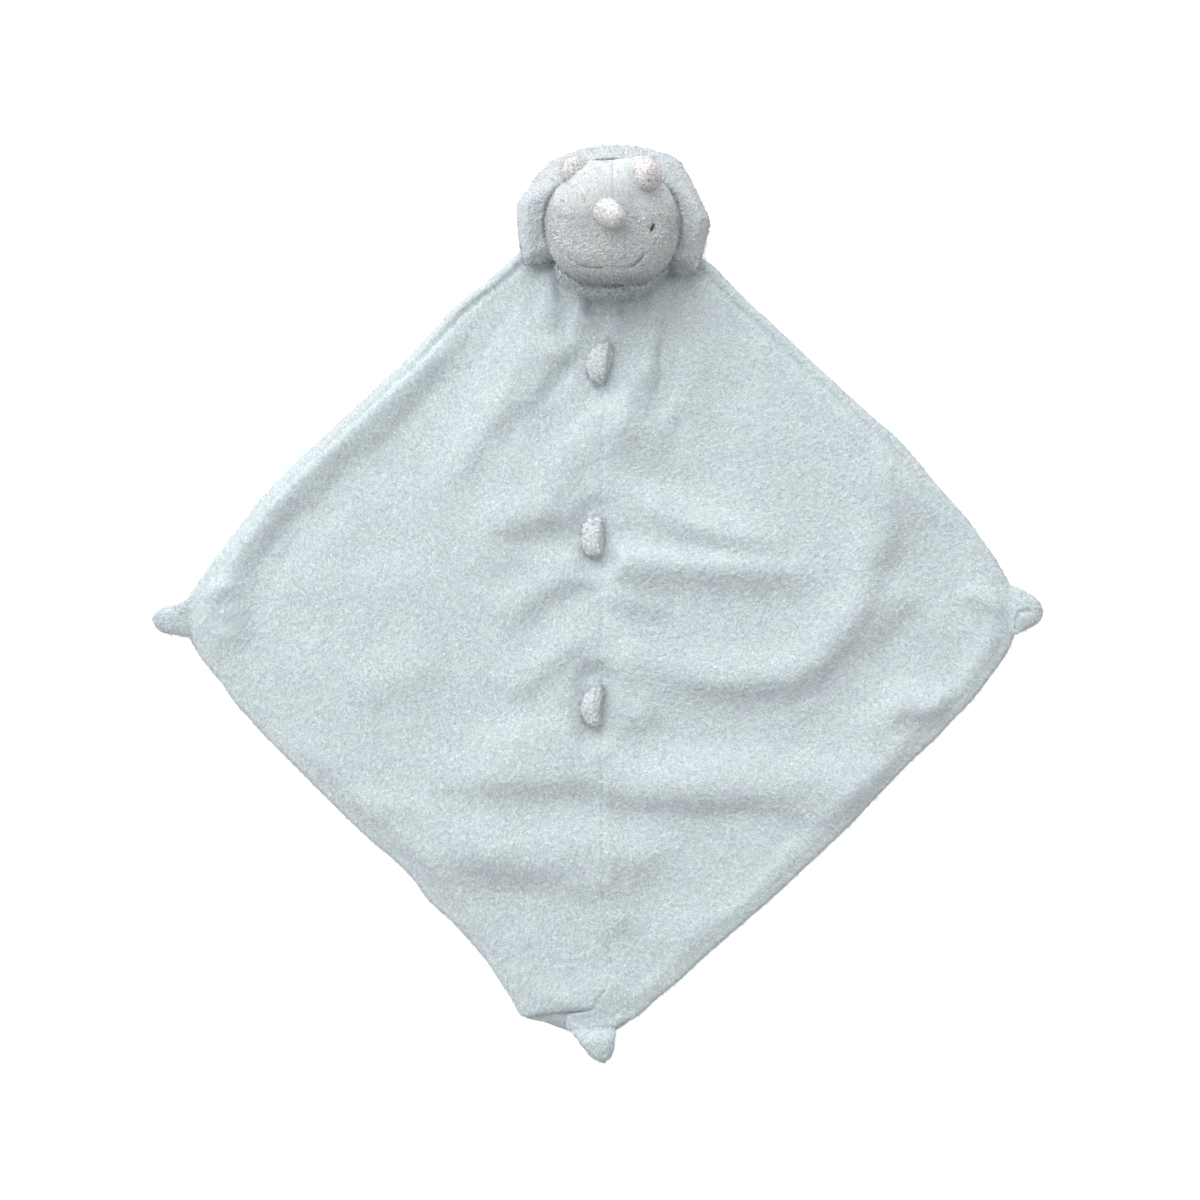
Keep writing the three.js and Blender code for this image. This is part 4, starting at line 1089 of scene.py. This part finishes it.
# horns: root, lean from upright, radius, length and how blunt the end is
horns = {
    "browHornLeft": {
        "node": "brow_horn_left", "root": (-11.4, 235.4, 39.0), "lean": (-0.04, 0.06),
        "radius": 9.2, "length": 22.5, "blunt": 3.0,
    },
    "browHornRight": {
        "node": "brow_horn_right", "root": (23.4, 236.0, 41.0), "lean": (0.22, -0.2),
        "radius": 9.3, "length": 23.0, "blunt": 2.7,
    },
    "noseHorn": {
        "node": "nose_horn", "root": (2.4, 215.6, 53.0), "lean": (0.46, -0.42),
        "radius": 8.3, "length": 21.5, "blunt": 2.1,
    },
}


def hornPlaces(horn, rings, around, grow):
    places, faces, rim = discGrid(rings, around)
    turn = places[:, 0] * math.pi / 2
    out = np.sin(turn) ** (2 / horn["blunt"]) * (horn["radius"] + grow)
    up = np.cos(turn) ** (2 / horn["blunt"]) * (horn["length"] + grow)
    out = out * (1 + 0.12 * (1 - ease(up, 0.25 * horn["length"], 0.6 * horn["length"])))
    leanX, leanY = horn["lean"]
    bend = up / horn["length"]
    x = horn["root"][0] + out * np.cos(places[:, 1]) + leanX * up * (0.6 + 0.4 * bend)
    y = horn["root"][1] + out * np.sin(places[:, 1]) + leanY * up * (0.6 + 0.4 * bend)
    z = horn["root"][2] + up - leanX * out * np.cos(places[:, 1]) - leanY * out * np.sin(places[:, 1])
    return np.column_stack([x, y, z]), faces, rim


def hornPieces(name, horn):
    rings, around, cover = hornCoat["rings"], hornCoat["around"], hornCoat["cover"]
    spots, faces, rim = hornPlaces(horn, rings, around, 0)
    points, shell = closeShell(spots, faces, rim, *hornPlaces(horn, rings // 4, around // 4, -cover))
    piece = plushPiece(name, points, shell, len(spots), hornCoat, creamPlush, 4.0, 0.08)
    tell(piece, horn["node"], "head")
    spots, faces, rim = hornPlaces(horn, 12, 32, -1.8)
    fillingPiece(name + "Filling", horn["node"] + "_filling", spots, faces + [tuple(reversed(rim))])


hornCoat = {
    "rings": 52, "around": 120, "cover": 1.5,
    "depth": 0.5, "size": 1.2, "curl": {"length": 1.2, "thick": 0.2},
}
for name, horn in horns.items():
    hornPieces(name, horn)


def eyeStitches(name, node, place, sink):
    x, y, sign = place
    halfWidth, halfLength = head["eyeHalf"]
    slant = math.radians(head["eyeSlant"])
    parts = []
    for share in np.linspace(-0.86, 0.86, 7):
        reach = halfLength * math.sqrt(1 - share ** 2)
        path = []
        for t in np.linspace(-1, 1, 9):
            across, along = share * halfWidth, t * reach
            px = x + across * math.cos(slant) + sign * along * math.sin(slant)
            py = y - sign * across * math.sin(slant) + along * math.cos(slant)
            path.append((px, py, faceHeight(px, py) - sink + stitches["arch"] * (1 - t * t)))
        parts.append(thread(path, head["eyeThread"]))
    stitchPiece(name, parts, brownThread, node, "head")


for side, place in head["eyes"].items():
    eyeStitches("eye" + side, "eye_" + side.lower(), place, head["eyeSink"][side])


def mouthStitches():
    line = smoothPath(head["mouth"], 61)
    parts = []
    for k in range(0, 60, 3):
        # its left part and its right end show above the pile
        sink = head["mouthSink"][k > 45 or 9 < k < 30]
        path = [(x, y, faceHeight(x, y) - sink) for x, y in line[k:k + 4]]
        parts.append(thread(path, head["mouthThread"]))
    stitchPiece("mouthStitches", parts, greyThread, "mouth_stitching", "head")


mouthStitches()
print("head made")


def crestPlaces(sign, rings, around, grow):
    # one face of the frill, from its middle out to its edge
    edge = smoothPath(crest["outline"], around, closed=True)
    centre = np.array(crest["centre"])
    reach = np.linalg.norm(edge - centre, axis=1, keepdims=True)
    edge = centre + (edge - centre) * (reach + grow) / reach
    places, faces, rim = discGrid(rings, around)
    which = np.round(places[:, 1] * around / (2 * math.pi)).astype(int) % around
    spots = centre + (edge[which] - centre) * places[:, :1]
    gap = nearPath(spots[:, 0], spots[:, 1], np.vstack([edge, edge[:1]])[:: max(1, around // 120)])[0]
    gap[rim] = 0
    share = np.clip(gap / crest["edge"][sign], 0, 1)
    swell = np.sqrt(np.clip(1 - (1 - share) ** 2.2, 0, 1)) * (crest["halfThickness"] + grow)
    if sign > 0:
        # the lobes are cupped round the head, with rolled rims, and the top rises to the crown
        u, v = spots.T
        lobes = 1 - ease(v, *crest["lobeSpan"])
        swell = swell + crest["roll"] * lobes * bump(gap, 6, 6) * ease(gap, 0, 4)
        fromHead = np.hypot((u + 0.7) / 36, (v + 11.5) / 33)
        cup = 0.55 * ease(fromHead, *crest["cupWall"]) + 0.45 * np.clip((fromHead - 1.1) / 0.4, 0, 1)
        swell = swell + crest["cup"] * lobes * cup * ease(gap, 0, 6) * ease(v, -36, -8)
        near = 1 - ease(fromHead, *crest["riseSpan"])
        swell = swell + crest["rise"] * (1 - lobes) * near * ease(gap, 0, 10)
        ends = 1 - ease(np.abs(u + 1.0), *crest["crackEnds"])
        crack = bump(fromHead, *crest["crackAt"]) * ends * ease(v, 10, 16)
        swell = swell - crest["crack"] * crack
    w = sign * swell
    tilt, middle = crest["tilt"], crest["middle"]
    # the back keeps off the table, and its lobes pass over the blanket when the head turns
    lowest = crest["lowest"] + crest["lobeLift"] * (1 - ease(spots[:, 1], 0, 14))
    return np.column_stack([
        middle[0] + spots[:, 0],
        middle[1] + spots[:, 1] * math.cos(tilt) + w * math.sin(tilt),
        np.maximum(middle[2] - spots[:, 1] * math.sin(tilt) + w * math.cos(tilt), lowest - grow),
    ]), faces, rim


def crestPieces():
    rings, around = crest["rings"], crest["around"]
    for name, node, sign in (("frillFront", "frill_front", 1), ("frillBack", "frill_back", -1)):
        spots, faces, rim = crestPlaces(sign, rings, around, 0)
        inner = crestPlaces(sign, rings // 4, around // 4, -crest["cover"])
        points, shell = closeShell(spots, faces, rim, *inner)
        local = (spots[:, 1] - crest["middle"][1]) / math.cos(crest["tilt"])
        ends = bump(local, -34, 6)
        ring = np.repeat(np.arange(rings + 1), [1] + rings * [around])
        chance = 0.015 + 0.35 * ends + 0.15 * (ring > rings - 2)
        piece = plushPiece(name, points, shell, len(spots), crest["coat"], frillPlush, 6.0, chance,
                           longer=1 + 0.7 * ends)
        tell(piece, node, "head")
    points, faces = closeShell(*crestPlaces(1, 20, 120, -2.6), *crestPlaces(-1, 20, 120, -2.6))
    fillingPiece("frillWadding", "frill_wadding", points, faces)


crestPieces()
print("frill made")


neck = {
    "base": 5.0, "pleats": 15, "pleatDepth": 0.45,
    "coat": {"depth": 0.35, "size": 1.75},
    # height and radius
    "profile": [
        (0, 0.1), (0, 8.4), (2.2, 8.6), (3.6, 6.9), (4.6, 6.8), (6.6, 8.2), (12, 8.5), (17, 8.4), (18, 7.4),
        (18.1, 0.1),
    ],
    "coil": {"turns": 2, "steps": 96, "radius": 7.7, "height": 3.5, "climb": 1.1, "thread": 0.45},
}


def neckPieces():
    profile = smoothPath(neck["profile"], 46)
    around = 120
    turn = np.linspace(0, 2 * math.pi, around, endpoint=False)
    points = []
    for height, radius in profile:
        pleat = 1 + neck["pleatDepth"] / 8 * np.cos(neck["pleats"] * turn) * ease(radius, 3, 7)
        points.append(np.column_stack([
            neckSpot[0] + radius * pleat * np.cos(turn), neckSpot[1] + radius * pleat * np.sin(turn),
            np.full(around, neck["base"] + height),
        ]))
    points = np.vstack(points)
    faces = tubeFaces(len(profile), around)
    piece = plushPiece("neckGather", points, faces, len(points), neck["coat"], blanketPlush, 7.0)
    tell(piece, "neck_gather", "neck")
    coil, path = neck["coil"], []
    for k in range(coil["steps"] + 1):
        angle = 2 * math.pi * coil["turns"] * k / coil["steps"]
        path.append((
            neckSpot[0] + coil["radius"] * math.cos(angle), neckSpot[1] + coil["radius"] * math.sin(angle),
            neck["base"] + coil["height"] + coil["climb"] * k / coil["steps"],
        ))
    points, faces = thread(path, coil["thread"], 8)
    piece = makeMesh("neckThread", points, faces, paleThread)
    tell(piece, "neck_thread", "neck")


neckPieces()
print("neck made")
